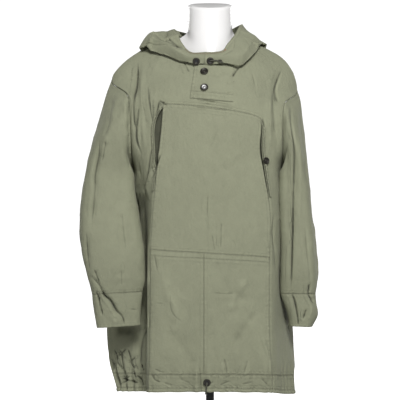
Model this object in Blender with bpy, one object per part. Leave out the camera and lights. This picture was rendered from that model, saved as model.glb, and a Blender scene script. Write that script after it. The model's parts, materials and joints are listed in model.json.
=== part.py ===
"""Olive cotton pullover parka on a limbless dress form.

Metres, +Z up. The wearer's front faces -Y; "left" and "right" are as seen from the front. The origin
is the middle of the base plate's underside. Tables are in millimetres, one row for each section.

The body is one surface, body_surface(u, v): u runs round it through the stations 0 front centre,
1 bib edge, 2 tuck behind the bib, 3 side seam, 4 shoulder blade, 5 back centre, negative on the
left, and v runs up the levels of LEVELS. Every panel is a piece of that surface with a wall.
"""

import math
from collections import namedtuple

import bmesh
import bpy
import numpy as np
from mathutils import Matrix, Vector
from mathutils.bvhtree import BVHTree

MM = 0.001

# Driving dimensions
WALL = 0.0018  # cloth with its seam allowances
SEAM_GAP = 0.0003  # space between two sewn pieces
RIM_BEVEL = 0.0004  # how much further back a wall's inner edge stands
LAID_ON = 0.0005  # space under a piece that lies on a panel
SLEEVE_STEPS = 10  # segments along half an armhole
SLEEVE_LAP = 0.0009  # the sleeve's edge stands this far outside the armhole's
SEAT_CLEARANCE = 0.0004  # the cloth rests this far above the form
HOOD_CLEARANCE = 0.0030  # the hood's folds lie this far above the body
BUTTON_RADIUS = 0.0102
BUTTON_HEIGHT = 0.0034
POCKET_BUTTON_RADIUS = 0.0087
EYELET_RADIUS = 0.0095
EYELET_HOLE = 0.0042
EYELET_HEIGHT = 0.0016
POLE_RADIUS = 0.0105
BASE_RADIUS = 0.160
BASE_HEIGHT = 0.010
BASE_CHAMFER = 0.003
CENTRE_SEAM_U = -0.10  # the skirt's centre seam lies a little left of the middle

LEVELS = ("hem", "casing", "knee", "thigh", "hip", "waist", "rib", "armpit", "chest", "pocket",
          "yoke", "cap", "shoulder", "neck")
LEVEL = {name: index for index, name in enumerate(LEVELS)}

Centre = namedtuple("Centre", "level front_y front_z back_y back_z")
CENTRE = (
    Centre("hem", -148, 126, 155, 112),
    Centre("casing", -153, 171, 160, 158),
    Centre("knee", -156, 225, 164, 213),
    Centre("thigh", -157, 300, 166, 290),
    Centre("hip", -157, 385, 163, 380),
    Centre("waist", -156, 475, 156, 470),
    Centre("rib", -155, 580, 146, 580),
    Centre("armpit", -155, 680, 136, 685),
    Centre("chest", -152, 740, 133, 752),
    Centre("pocket", -147, 800, 130, 818),
    Centre("yoke", -139, 845, 124, 885),
    Centre("cap", -127, 885, 112, 938),
    Centre("shoulder", -106, 922, 90, 988),
    Centre("neck", -86, 950, 62, 1026),
)

Flank = namedtuple(
    "Flank", "level bib_x bib_y tuck_x tuck_y side_x side_y side_z rear_x rear_y blade_x blade_y")
FLANK_LEFT = (
    Flank("hem", 152, -126, 166, -48, 238, 22, 110, 238, 22, 150, 138),
    Flank("casing", 154, -131, 167, -44, 253, 30, 157, 253, 30, 162, 144),
    Flank("knee", 155, -134, 168, -36, 265, 38, 210, 265, 38, 172, 148),
    Flank("thigh", 154, -134, 168, -22, 267, 48, 290, 267, 48, 176, 150),
    Flank("hip", 154, -133, 168, -14, 252, 56, 380, 252, 56, 172, 148),
    Flank("waist", 152, -132, 167, -20, 233, 56, 470, 233, 56, 166, 142),
    Flank("rib", 145, -131, 168, -42, 213, 44, 580, 213, 44, 162, 128),
    Flank("armpit", 136, -130, 174, -84, 198, -2, 675, 198, -2, 162, 112),
    Flank("chest", 129, -129, 174, -106, 201, -68, 735, 203, 64, 156, 112),
    Flank("pocket", 123, -126, 174, -108, 203, -84, 800, 205, 76, 150, 112),
    Flank("yoke", 119, -119, 176, -98, 211, -66, 878, 213, 60, 146, 104),
    Flank("cap", 112, -106, 180, -66, 255, 0, 921, 255, 0, 142, 88),
    Flank("shoulder", 92, -82, 150, -50, 203, 3, 984, 203, 3, 112, 64),
    Flank("neck", 36, -76, 70, -44, 86, 4, 1036, 86, 4, 62, 48),
)
FLANK_RIGHT = (
    Flank("hem", 152, -126, 186, -84, 219, 4, 106, 219, 4, 160, 124),
    Flank("casing", 152, -131, 184, -86, 217, 8, 155, 217, 8, 162, 128),
    Flank("knee", 151, -134, 180, -88, 220, 24, 210, 220, 24, 166, 134),
    Flank("thigh", 149, -135, 174, -92, 214, 52, 290, 214, 52, 168, 140),
    Flank("hip", 149, -134, 173, -92, 188, 22, 380, 188, 22, 168, 136),
    Flank("waist", 150, -132, 174, -90, 186, 8, 470, 186, 8, 164, 130),
    Flank("rib", 151, -131, 173, -92, 184, 2, 580, 184, 2, 160, 120),
    Flank("armpit", 135, -130, 168, -98, 183, -2, 675, 183, -2, 156, 110),
    Flank("chest", 125, -129, 166, -106, 184, -70, 735, 184, 66, 150, 110),
    Flank("pocket", 129, -124, 166, -106, 184, -84, 800, 184, 76, 146, 108),
    Flank("yoke", 122, -117, 164, -96, 190, -66, 857, 190, 60, 142, 100),
    Flank("cap", 112, -104, 166, -66, 226, 0, 895, 226, 0, 138, 86),
    Flank("shoulder", 90, -80, 144, -48, 191, 3, 976, 191, 3, 110, 62),
    Flank("neck", 34, -74, 68, -42, 84, 4, 1030, 84, 4, 60, 46),
)
# How far each station's height has gone from the front centre's to the side's, and on to the back's.
HEIGHT_SHARE = {0: 0.0, 1: 0.2, 2: 0.6, 3: 1.0, 4: 0.6}
# How roundly the surface passes each station: the bib's edges are the sharp corners.
ROUNDNESS = {0: 1.0, 1: 0.45, 2: 0.7, 3: 0.9, 4: 1.0, 5: 1.0}

# A sleeve ring is an ellipse whose diameter runs from its outer to its inner point, seen from the front.
Ring = namedtuple("Ring", "out_x out_z in_x in_z mid_y half_depth")
SLEEVE_LEFT = (
    Ring(255, 921, 198, 675, -5, 82),
    Ring(268, 885, 204, 671, -6, 83),
    Ring(285, 825, 207, 667, -11, 80),
    Ring(303, 765, 208, 660, -18, 75),
    Ring(317, 700, 207, 645, -26, 70),
    Ring(327, 645, 203, 620, -33, 67),
    Ring(334, 585, 195, 578, -40, 65),
    Ring(335.5, 520, 186, 520, -47, 63),
    Ring(327, 458, 178, 458, -52, 59),
    Ring(312, 408, 178, 408, -56, 50),
    Ring(303, 368, 185, 376, -59, 40),
)
CUFF_LEFT = (
    SLEEVE_LEFT[-1],
    Ring(301, 346, 184, 352, -60, 38),
    Ring(296, 318, 181, 324, -61, 36),
    Ring(290, 282, 178, 290, -62, 34),
)
SLEEVE_RIGHT = (
    Ring(226, 895, 183, 675, -3, 80),
    Ring(236, 855, 190, 671, -3, 84),
    Ring(243, 800, 193, 667, -5, 86),
    Ring(249, 737, 194, 660, -8, 87),
    Ring(254, 680, 194, 645, -11, 89),
    Ring(259, 620, 194, 612, -14, 91),
    Ring(265, 552, 196, 552, -17, 92),
    Ring(271, 490, 199, 490, -20, 91),
    Ring(275, 430, 197, 430, -23, 84),
    Ring(275.5, 396, 196, 396, -27, 72),
    Ring(271, 370, 197, 370, -30, 62),
)
CUFF_RIGHT = (
    SLEEVE_RIGHT[-1],
    Ring(273, 345, 202, 346, -31, 60),
    Ring(277, 315, 204, 318, -32, 57),
    Ring(262, 284, 206, 286, -33, 53),
)

# The hood's section goes from the neck seam under the fold, round it, over the crest and in to the rim.
Cowl = namedtuple("Cowl", "neck_u under fold crest rim")
HOOD_LEFT = (
    Cowl(-0.36, (-13, -90, 957), (-13, -92, 965), (-13, -91, 976), (-13, -86, 987)),
    Cowl(-0.75, (-42, -88, 958), (-62, -86, 962), (-62, -92, 978), (-50, -76, 988)),
    Cowl(-1.50, (-85, -66, 992), (-127, -50, 985), (-118, -56, 1014), (-72, -52, 1013)),
    Cowl(-2.30, (-125, -24, 1022), (-179, -18, 1002), (-158, -14, 1031), (-82, -24, 1037)),
    Cowl(-3.20, (-125, 24, 1030), (-177, 40, 990), (-152, 42, 1045), (-92, 28, 1057)),
    Cowl(-4.10, (-92, 96, 985), (-132, 140, 885), (-120, 152, 1000), (-80, 90, 1056)),
    Cowl(-5.00, (0, 112, 985), (0, 156, 800), (0, 196, 930), (0, 124, 1044)),
)
HOOD_RIGHT = (
    Cowl(-0.31, (-11, -90, 957), (-11, -92, 965), (-11, -91, 976), (-11, -86, 986)),
    Cowl(0.80, (26, -90, 957), (42, -90, 961), (44, -93, 977), (28, -84, 990)),
    Cowl(1.50, (60, -76, 966), (78, -86, 953), (86, -84, 984), (45, -66, 1011)),
    Cowl(2.30, (92, -44, 1006), (112, -56, 984), (109, -34, 1022), (62, -40, 1034)),
    Cowl(3.20, (108, 16, 1032), (140, 20, 1012), (118, 24, 1038), (76, 8, 1062)),
    Cowl(4.10, (90, 94, 985), (134, 134, 888), (116, 146, 1002), (80, 78, 1072)),
    Cowl(5.00, (0, 112, 985), (0, 156, 800), (0, 196, 930), (0, 124, 1044)),
)

# Dress form rings below the shoulders and up the neck.
Torso = namedtuple("Torso", "side_x front_y back_y front_z side_z back_z")
TORSO = (
    Torso(120, -86, 92, 430, 430, 430),
    Torso(150, -104, 112, 445, 445, 445),
    Torso(158, -110, 116, 500, 500, 500),
    Torso(146, -104, 106, 600, 600, 600),
    Torso(148, -116, 106, 700, 700, 700),
    Torso(156, -126, 108, 790, 790, 790),
    Torso(166, -118, 104, 850, 860, 870),
)
NECK = (
    Torso(62, -62, 58, 984, 1033, 1040),
    Torso(58, -57, 59, 1020, 1066, 1070),
    Torso(57, -54, 60, 1060, 1090, 1096),
    Torso(57, -53, 60, 1092, 1106, 1116),
    Torso(54, -50, 57, 1096, 1109, 1119),
)

# Large folds, seen from the front or the back: a soft trough (negative) or ridge along a line.
Crease = namedtuple("Crease", "facing x0 z0 x1 z1 half_width height")
CREASES = (
    Crease(-1, -158, 300, -160, 480, 16, -5),
    Crease(-1, -176, 880, -166, 790, 14, -4),
    Crease(-1, -196, 960, -192, 820, 13, -6),
    Crease(-1, 176, 890, 180, 800, 13, -5),
    Crease(-1, 124, 250, 148, 150, 18, 5),
    Crease(-1, -120, 300, -60, 230, 24, -3),
    Crease(-1, 20, 350, 80, 330, 26, -3),
    Crease(1, -90, 800, -40, 600, 34, -5),
    Crease(1, 100, 760, 50, 560, 34, -5),
    Crease(1, -150, 520, -120, 260, 30, 6),
    Crease(1, 10, 560, 0, 240, 36, 6),
    Crease(1, 130, 540, 120, 260, 30, 6),
    Crease(1, -60, 480, -70, 200, 26, -5),
    Crease(1, 70, 500, 66, 200, 26, -5),
)

CASING_TOP_V = 0.991  # the casing ends just under the panels
CASING_COLUMNS = 140
GATHERS_PER_STATION = 4  # gathers of the hem casing between two stations
GATHER_HEIGHT = 0.0024
GATHER_REACH = 1.1  # levels above the casing over which the gathers fade out


def catmull(values, position):
    """Smooth curve through rows of values, at positions counted in rows."""
    values = np.asarray(values, float)
    slope = np.gradient(values, axis=0)
    low = np.clip(np.floor(position).astype(int), 0, len(values) - 2)
    t = (position - low).reshape(position.shape + (1,) * (values.ndim - 1))
    start, end = values[low], values[low + 1]
    return ((2 * t**3 - 3 * t**2 + 1) * start + (t**3 - 2 * t**2 + t) * slope[low]
            + (3 * t**2 - 2 * t**3) * end + (t**3 - t**2) * slope[low + 1])


def station_height(centre, flank, station):
    """The bib edge and tuck lie between front centre and side, the blade between side and back."""
    if station == 4:
        return flank.side_z + HEIGHT_SHARE[4] * (centre.back_z - flank.side_z)
    return centre.front_z + HEIGHT_SHARE[station] * (flank.side_z - centre.front_z)


def flank_points(centre, flank, sign):
    """One side's front stations from bib edge to side seam, then its rear stations."""
    front = [(sign * flank.bib_x, flank.bib_y, station_height(centre, flank, 1)),
             (sign * flank.tuck_x, flank.tuck_y, station_height(centre, flank, 2)),
             (sign * flank.side_x, flank.side_y, flank.side_z)]
    rear = [(sign * flank.rear_x, flank.rear_y, flank.side_z),
            (sign * flank.blade_x, flank.blade_y, station_height(centre, flank, 4))]
    return front, rear


def station_table():
    """Station points of every level: [level, slot, xyz]. The slots run from the back centre round the
    left, three rear and three front, to the front centre and back round the right."""
    rows = []
    for centre, left, right in zip(CENTRE, FLANK_LEFT, FLANK_RIGHT):
        left_front, left_rear = flank_points(centre, left, -1)
        right_front, right_rear = flank_points(centre, right, 1)
        back = [(0, centre.back_y, centre.back_z)]
        rows.append(back + left_rear[::-1] + left_front[::-1] + [(0, centre.front_y, centre.front_z)]
                    + right_front + right_rear + back)
    return np.array(rows) * MM


STATIONS = station_table()
REAR_LEFT, SIDE_LEFT, SIDE_RIGHT, REAR_RIGHT = 2, 3, 9, 10


def smoothstep(value, low, high):
    t = np.clip((value - low) / (high - low), 0, 1)
    return t * t * (3 - 2 * t)


def front_curve(points):
    """The seven front stations with one rear neighbour on each end, and their tangents."""
    left_blade, right_blade = points[:, 1], points[:, 11]
    front = points[:, SIDE_LEFT:SIDE_RIGHT + 1]
    run = np.concatenate([left_blade[:, None], front, right_blade[:, None]], axis=1)
    return run, [ROUNDNESS[abs(k)] for k in range(-4, 5)]


def rear_curve(points):
    """The rear stations from the left tuck round the back to the right tuck."""
    run = np.concatenate([points[:, 4][:, None], points[:, REAR_LEFT::-1],
                          points[:, 11:REAR_RIGHT - 1:-1], points[:, 8][:, None]], axis=1)
    return run, [ROUNDNESS[k] for k in (2, 3, 4, 5, 4, 3, 2)]


def plain_surface(u, v):
    """The body without folds. u from -3 to 3 is the front; beyond 3 and below -3 is the back."""
    u, v = np.broadcast_arrays(np.asarray(u, float), np.asarray(v, float))
    flat_u, flat_v = u.ravel(), v.ravel()
    stations = catmull(STATIONS, flat_v)
    sewn = (flat_v <= LEVEL["armpit"]) | (flat_v >= LEVEL["cap"])
    for side, rear in ((SIDE_LEFT, REAR_LEFT), (SIDE_RIGHT, REAR_RIGHT)):
        middle = (stations[sewn, side] + stations[sewn, rear]) / 2
        stations[sewn, side] = stations[sewn, rear] = middle
    front = np.abs(flat_u) <= 3
    out = np.empty((len(flat_u), 3))
    for mask, (run, tension), slot in (
            (front, front_curve(stations), flat_u + 4),
            (~front, rear_curve(stations), np.where(flat_u < 0, -2 - flat_u, 8 - flat_u))):
        if not mask.any():
            continue
        run, place = run[mask], slot[mask]
        slope = np.gradient(run, axis=1) * np.asarray(tension)[None, :, None]
        low = np.clip(np.floor(place).astype(int), 0, run.shape[1] - 2)
        t = (place - low)[:, None]
        pick = np.arange(len(low))
        out[mask] = ((2 * t**3 - 3 * t**2 + 1) * run[pick, low]
                     + (t**3 - 2 * t**2 + t) * slope[pick, low]
                     + (3 * t**2 - 2 * t**3) * run[pick, low + 1]
                     + (t**3 - t**2) * slope[pick, low + 1])
    return out.reshape(u.shape + (3,))


def unit(vectors):
    return vectors / np.maximum(np.linalg.norm(vectors, axis=-1, keepdims=True), 1e-12)


def surface_normal(surface, u, v, step=0.03):
    """Outward unit normals by differences; at an armhole or the top edge they are one-sided."""
    u, v = np.broadcast_arrays(np.asarray(u, float), np.asarray(v, float))
    open_side = (v > LEVEL["armpit"] + 0.01) & (v < LEVEL["cap"] - 0.01)
    is_front = np.abs(u) <= 3
    ahead, behind = u + step, u - step
    ahead = np.where(open_side & is_front, np.minimum(ahead, 3), ahead)
    behind = np.where(open_side & is_front, np.maximum(behind, -3), behind)
    ahead = np.where(open_side & ~is_front & (u < 0), np.minimum(ahead, -3.0001), ahead)
    behind = np.where(open_side & ~is_front & (u > 0), np.maximum(behind, 3.0001), behind)
    at_side = np.abs(np.abs(u) - 3) < 0.01
    above = np.where(at_side & (np.abs(v - LEVEL["armpit"]) < 0.01), v, v + step)
    below = np.where(at_side & (np.abs(v - LEVEL["cap"]) < 0.01), v, v - step)
    across = surface(ahead, v) - surface(behind, v)
    up = surface(u, np.minimum(above, len(LEVELS) - 1)) - surface(u, np.maximum(below, 0))
    return unit(np.cross(across, up))


def crease_height(points, facing_y):
    """How far the large folds move each point out along its normal."""
    total = np.zeros(points.shape[:-1])
    for crease in CREASES:
        start = np.array((crease.x0, crease.z0)) * MM
        along = np.array((crease.x1, crease.z1)) * MM - start
        relative = points[..., (0, 2)] - start
        share = np.clip((relative @ along) / (along @ along), 0, 1)
        distance = np.linalg.norm(relative - share[..., None] * along, axis=-1)
        ends = np.sin(math.pi * np.clip(share, 0.06, 0.94)) ** 0.5
        bump = crease.height * MM * ends * np.exp(-(distance / (crease.half_width * MM)) ** 2)
        total += np.where(facing_y * crease.facing > 0.25, bump, 0)
    return total


def gather_height(u, v):
    """Gathers that the hem cord draws into the casing and the cloth just above it."""
    phase = 2 * math.pi * GATHERS_PER_STATION * (u + 0.07 * np.sin(5.1 * u + 0.4))
    uneven = 0.65 + 0.35 * np.sin(2.3 * u + 1.1)
    strong = np.where((u < -1.3) & (u > -4), 1.7, 1.0)
    fade = 1 - smoothstep(v, LEVEL["casing"], LEVEL["casing"] + GATHER_REACH)
    return GATHER_HEIGHT * np.cos(phase) * uneven * strong * fade


def body_surface(u, v):
    """The body with its folds; the gathers belong to the casing alone."""
    base = plain_surface(u, v)
    normal = surface_normal(plain_surface, u, v)
    return base + normal * crease_height(base, normal[..., 1])[..., None]


def casing_surface(u, v):
    u, v = np.broadcast_arrays(np.asarray(u, float), np.asarray(v, float))
    normal = surface_normal(plain_surface, u, v)
    return body_surface(u, v) + normal * gather_height(u, v)[..., None]


def material(name, colour, roughness, metallic=0.0):
    found = bpy.data.materials.get(name)
    if found:
        return found
    made = bpy.data.materials.new(name)
    made.use_nodes = True
    shader = made.node_tree.nodes["Principled BSDF"]
    shader.inputs["Base Color"].default_value = (*colour, 1)
    shader.inputs["Roughness"].default_value = roughness
    shader.inputs["Metallic"].default_value = metallic
    return made


def cotton(name):
    return material("cotton_" + name, (0.30, 0.31, 0.22), 0.85)


def add_mesh(name, mesh_builder, finish, smooth_angle=40):
    """A named object from a bmesh."""
    bmesh.ops.recalc_face_normals(mesh_builder, faces=mesh_builder.faces)
    mesh = bpy.data.meshes.new(name)
    mesh_builder.to_mesh(mesh)
    mesh_builder.free()
    mesh.materials.append(finish)
    mesh.shade_smooth()
    mesh.set_sharp_from_angle(angle=math.radians(smooth_angle))
    made = bpy.data.objects.new(name, mesh)
    bpy.context.scene.collection.objects.link(made)
    return made


def cell_shifts(mask, closed):
    """For each grid point, which way it moves to leave a seam: +1, 0 or -1 across and along."""
    across_cells, along_cells = mask.shape
    padded = np.zeros((across_cells + 2, along_cells + 2), bool)
    padded[1:-1, 1:-1] = mask
    if closed:
        padded[0, 1:-1], padded[-1, 1:-1] = mask[-1], mask[0]
    before_low, before_high = padded[:-1, :-1], padded[:-1, 1:]
    after_low, after_high = padded[1:, :-1], padded[1:, 1:]
    counts = [part.astype(int) for part in (before_low, before_high, after_low, after_high)]
    across = np.sign(counts[2] + counts[3] - counts[0] - counts[1])
    along = np.sign(counts[1] + counts[3] - counts[0] - counts[2])
    used = sum(counts) > 0
    return across, along, used


def draw_back(points, across, along, distance, closed):
    """Moves border points towards their inner neighbours by a distance."""
    after = np.roll(points, -1, axis=0)
    before = np.roll(points, 1, axis=0)
    if not closed:
        after[-1], before[0] = points[-1], points[0]
    above = np.concatenate([points[:, 1:], points[:, -1:]], axis=1)
    below = np.concatenate([points[:, :1], points[:, :-1]], axis=1)
    moved = points.copy()
    for sign, neighbour, field in ((1, after, across), (-1, before, across),
                                   (1, above, along), (-1, below, along)):
        moved += np.where((field == sign)[..., None], unit(neighbour - points) * distance, 0)
    return moved


def shell(name, points, normals, finish, mask=None, closed=False, wall=WALL, gap=SEAM_GAP):
    """A closed wall on a grid of outer points, with its border drawn back by half a seam gap."""
    count_across, count_along = points.shape[:2]
    cells = (count_across if closed else count_across - 1, count_along - 1)
    if mask is None:
        mask = np.ones(cells, bool)
    across, along, used = cell_shifts(mask, closed)
    if closed:
        across, along, used = across[:-1], along[:-1], used[:-1]
    outer = draw_back(points, across, along, gap / 2, closed)
    inner = draw_back(points, across, along, gap / 2 + RIM_BEVEL, closed) - normals * wall
    builder = bmesh.new()
    outer_verts, inner_verts = {}, {}
    for i, j in zip(*np.nonzero(used)):
        outer_verts[i, j] = builder.verts.new(outer[i, j])
        inner_verts[i, j] = builder.verts.new(inner[i, j])
    edges = {}
    for i, j in zip(*np.nonzero(mask)):
        k = (i + 1) % count_across
        corners = [(i, j), (k, j), (k, j + 1), (i, j + 1)]
        first = np.linalg.norm(outer[corners[0]] - outer[corners[2]])
        second = np.linalg.norm(outer[corners[1]] - outer[corners[3]])
        if second < first:
            corners = corners[1:] + corners[:1]
        for triangle in ((0, 1, 2), (0, 2, 3)):
            builder.faces.new([outer_verts[corners[n]] for n in triangle])
            builder.faces.new([inner_verts[corners[n]] for n in reversed(triangle)])
        for n in range(4):
            start, end = corners[n], corners[(n + 1) % 4]
            if edges.pop((end, start), None) is None:
                edges[start, end] = True
    for start, end in edges:
        builder.faces.new((outer_verts[end], outer_verts[start], inner_verts[start], inner_verts[end]))
    return add_mesh(name, builder, finish)


# The grid that the front's pieces share: columns at fixed u, rows bent to follow the seams.
FRONT_COLUMNS = np.array([-3, -2.72, -2.42, -2.1, -1.8, -1.5, -1.25, -1, -0.78, -0.55, -0.32,
                          CENTRE_SEAM_U, 0.12, 0.34, 0.56, 0.78, 1, 1.25, 1.5, 1.8, 2.15, 2.55, 3])
BACK_COLUMNS = np.array([3, 3.35, 3.7, 4.05, 4.4, 4.7, 5, 5.3, 5.6, 5.95, 6.3, 6.65, 7])
ROW_WAIST, ROW_BIB, ROW_TOP = 5, 12, 20
SIDE_ROWS = np.array([1, 1.5, 2.3, 3.2, 4.1, 5, 6] + list(np.linspace(7, 11, SLEEVE_STEPS + 1))
                     + [11.67, 12.33, 13])
WAIST_V, WAIST_SLOPE = 5.0, -0.11  # the waist seam falls a little to the right
BIB_V, BIB_SLOPE, BIB_CURVE = 9.93, -0.36, -0.30  # the bib's top seam


def seam_rows(u):
    """The v of every row at u: bent to the bib's seams in the middle, even at the sides."""
    inner = np.clip(u, -1, 1)
    waist = WAIST_V + WAIST_SLOPE * inner
    bib = BIB_V + BIB_SLOPE * inner + BIB_CURVE * inner**2
    middle = np.concatenate([SIDE_ROWS[:4], [(SIDE_ROWS[3] + waist) / 2],
                             np.linspace(waist, bib, ROW_BIB - ROW_WAIST + 1),
                             np.linspace(bib, LEVEL["neck"], ROW_TOP - ROW_BIB + 1)[1:]])
    share = smoothstep(abs(u), 1.0, 3.0)
    return middle * (1 - share) + SIDE_ROWS * share


def front_grid(columns):
    v = np.array([seam_rows(u) for u in columns])
    u = np.repeat(np.asarray(columns)[:, None], v.shape[1], axis=1)
    return u, v


def back_u(columns):
    """Back columns run 3..7 through 5 at the back centre; the surface wants -5..-3 on the left."""
    return np.where(columns <= 5, columns, columns - 10)


Mouth = namedtuple("Mouth", "sign low_v high_v gape")
POCKET_MOUTHS = (Mouth(-1, 6.35, 9.8, 0.30), Mouth(1, 6.2, 9.1, 0.10))


def mouth_profile(mouth, v):
    """How far a pocket's outer edge stands off the bib, in u."""
    share = np.clip((v - mouth.low_v) / (mouth.high_v - mouth.low_v), 0, 1)
    return mouth.gape * np.sin(math.pi * share**1.25) ** 0.8


def make_front():
    u, v = front_grid(FRONT_COLUMNS)
    for mouth in POCKET_MOUTHS:
        side = (u * mouth.sign >= 1) & (u * mouth.sign < 2)
        opened = u + mouth.sign * mouth_profile(mouth, v) * (2 - np.abs(u))
        u = np.where(side, opened, u)
    mask = np.ones((len(FRONT_COLUMNS) - 1, len(SIDE_ROWS) - 1), bool)
    middles = (FRONT_COLUMNS[1:] + FRONT_COLUMNS[:-1]) / 2
    mask[np.abs(middles) < 1, :ROW_BIB] = False
    shell("front", body_surface(u, v), surface_normal(body_surface, u, v), cotton("front"), mask)


def make_front_panel(name, low_u, high_u, low_row, high_row):
    columns = FRONT_COLUMNS[(FRONT_COLUMNS >= low_u) & (FRONT_COLUMNS <= high_u)]
    u, v = front_grid(columns)
    u, v = u[:, low_row:high_row + 1], v[:, low_row:high_row + 1]
    shell(name, body_surface(u, v), surface_normal(body_surface, u, v), cotton(name))


def make_back():
    u, v = np.meshgrid(back_u(BACK_COLUMNS), SIDE_ROWS, indexing="ij")
    nudged = np.where(np.abs(u) <= 3, np.sign(u) * 3.0001, u)
    points = body_surface(nudged, v)
    shell("back", points, surface_normal(body_surface, nudged, v), cotton("back"))


def make_casing():
    columns = np.linspace(-5, 5, CASING_COLUMNS + 1)[:-1]
    u, v = np.meshgrid(columns, (0.0, 0.35, 0.7, CASING_TOP_V), indexing="ij")
    points = casing_surface(u, v)
    shell("hem_casing", points, surface_normal(body_surface, u, v), cotton("casing"), closed=True)


def ring_points(rings, sign, turns, position):
    """Points of interpolated sleeve rings: turns 0 at the outer point, a quarter at the front."""
    rows = catmull(np.array(rings, float) * MM, np.asarray(position, float))
    out = np.stack([sign * rows[:, 0], rows[:, 4], rows[:, 1]], axis=-1)
    inn = np.stack([sign * rows[:, 2], rows[:, 4], rows[:, 3]], axis=-1)
    angle = 2 * math.pi * turns
    centre, half = (out + inn) / 2, (out - inn) / 2
    depth = np.stack([0 * rows[:, 5], rows[:, 5], 0 * rows[:, 5]], axis=-1)
    return (centre[None] + np.cos(angle)[:, None, None] * half[None]
            - np.sin(angle)[:, None, None] * depth[None])


def armhole_loop(sign):
    """The body's armhole from its top down the front and up the back, as the panels' rows meet it."""
    down = SIDE_ROWS[7:7 + SLEEVE_STEPS + 1][::-1]
    halves = []
    for station in (3.0 * sign, 3.0001 * sign):
        u = np.full(len(down), station)
        halves.append(body_surface(u, down) + surface_normal(body_surface, u, down) * SLEEVE_LAP)
    front, back = halves
    return np.concatenate([front[:-1], back[:0:-1]])


SLEEVE_FADE = 4.0  # rings over which the armhole's own outline passes into plain ellipses
SleeveCrease = namedtuple("SleeveCrease", "turn0 ring0 turn1 ring1 half_width height")
SLEEVE_CREASES = {
    -1: (SleeveCrease(0.07, 6.5, 0.24, 10.2, 12, -6), SleeveCrease(0.30, 2.5, 0.26, 7.5, 13, -4),
         SleeveCrease(0.14, 7.0, 0.19, 8.2, 9, -3), SleeveCrease(0.62, 4.0, 0.70, 8.5, 14, -5),
         SleeveCrease(0.86, 1.5, 0.80, 6.0, 14, -4)),
    1: (SleeveCrease(0.30, 4.5, 0.31, 8.6, 10, -4), SleeveCrease(0.08, 6.0, 0.06, 9.5, 9, -4),
        SleeveCrease(0.12, 0.2, 0.22, 1.6, 10, -3), SleeveCrease(0.66, 4.0, 0.72, 8.5, 14, -5),
        SleeveCrease(0.90, 1.5, 0.84, 6.0, 14, -4)),
}
CUFF_CREASES = {
    -1: (SleeveCrease(0.10, -0.2, 0.27, 3.2, 9, -6), SleeveCrease(0.03, 0.2, 0.05, 2.2, 8, -4)),
    1: (SleeveCrease(0.16, -0.2, 0.20, 2.8, 8, -4), SleeveCrease(0.07, 0.2, 0.09, 2.6, 8, -4)),
}


def tube_normals(points):
    around = np.roll(points, -1, axis=0) - np.roll(points, 1, axis=0)
    along = np.gradient(points, axis=1)
    return unit(np.cross(around, along))


def crease_tube(points, turns, position, creases, scale=0.45):
    """Presses creases into a tube; a crease's ends are given in turns and rings."""
    normals = tube_normals(points)
    ring_length = np.linalg.norm(np.diff(points, axis=1), axis=-1).mean()
    for crease in creases:
        start = np.array((crease.turn0 * scale, crease.ring0 * ring_length))
        along = np.array((crease.turn1 * scale, crease.ring1 * ring_length)) - start
        across, up = np.broadcast_arrays(turns[:, None] * scale, position[None] * ring_length)
        relative = np.stack([across, up], axis=-1) - start
        share = np.clip((relative @ along) / (along @ along), 0, 1)
        distance = np.linalg.norm(relative - share[..., None] * along, axis=-1)
        ends = np.sin(math.pi * np.clip(share, 0.08, 0.92)) ** 0.5
        points = points + normals * (crease.height * MM * ends
                                     * np.exp(-(distance / (crease.half_width * MM)) ** 2))[..., None]
    return points


def make_sleeve(name, rings, sign):
    turns = np.arange(2 * SLEEVE_STEPS) / (2 * SLEEVE_STEPS)
    last = len(rings) - 1
    position = np.concatenate([np.arange(0, SLEEVE_FADE, 0.5),
                               np.arange(SLEEVE_FADE, last, 0.75), [last]])
    points = ring_points(rings, sign, turns, position)
    first = ring_points(rings, sign, turns, np.array([0.0]))
    fade = 1 - smoothstep(position, 0, SLEEVE_FADE)
    points = points + (armhole_loop(sign)[:, None] - first) * fade[None, :, None]
    edges = smoothstep(position, 0, 1.0)
    creased = crease_tube(points, turns, position, SLEEVE_CREASES[sign])
    points = points + (creased - points) * edges[None, :, None]
    normals = tube_normals(points) * -sign
    shell(name, points, normals, cotton(name), closed=True)


def make_cuff(name, rings, sign):
    turns = np.arange(2 * SLEEVE_STEPS) / (2 * SLEEVE_STEPS)
    position = np.linspace(0, len(rings) - 1, 6)
    points = ring_points(rings, sign, turns, position)
    points = crease_tube(points, turns, position, CUFF_CREASES[sign], scale=0.3)
    shell(name, points, tube_normals(points) * -sign, cotton(name), closed=True)


HOOD_LIFT = 0.0006  # the hood's seam stands this much above the neckline
HOOD_REACH = 0.04  # a hood point further than this from the body is never moved


def hood_surface(rows, round_share, section):
    """round_share 0..1 from the front end to the back centre, section 0..1 from the seam to the rim."""
    table = np.array([[(0, 0, 0), row.under, row.fold, row.crest, row.rim] for row in rows]) * MM
    beyond = table[-2:-1] * (-1, 1, 1)
    position = np.asarray(round_share, float) * (len(rows) - 1)
    around = catmull(np.concatenate([table, beyond]), position)
    neck_u = np.interp(position, np.arange(len(rows)), [row.neck_u for row in rows])
    around[:, 0] = body_surface(neck_u, float(LEVEL["neck"]))
    around[:, 0, 2] += HOOD_LIFT
    place = np.asarray(section, float) * 4
    return np.stack([catmull(sections, place) for sections in around])


def lifted_clear(points, carriers, clearance):
    """Points that lie in or too near the carriers are moved out to the clearance, row by row."""
    moved = points.copy()
    for place in np.ndindex(points.shape[:2]):
        for tree in carriers:
            spot = Vector(moved[place])
            near, normal, _, _ = tree.find_nearest(spot)
            short = clearance[place[1]] - (spot - near).dot(normal)
            if short > 0 and (spot - near).length < HOOD_REACH:
                moved[place] = spot + normal * short
    return moved


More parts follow.
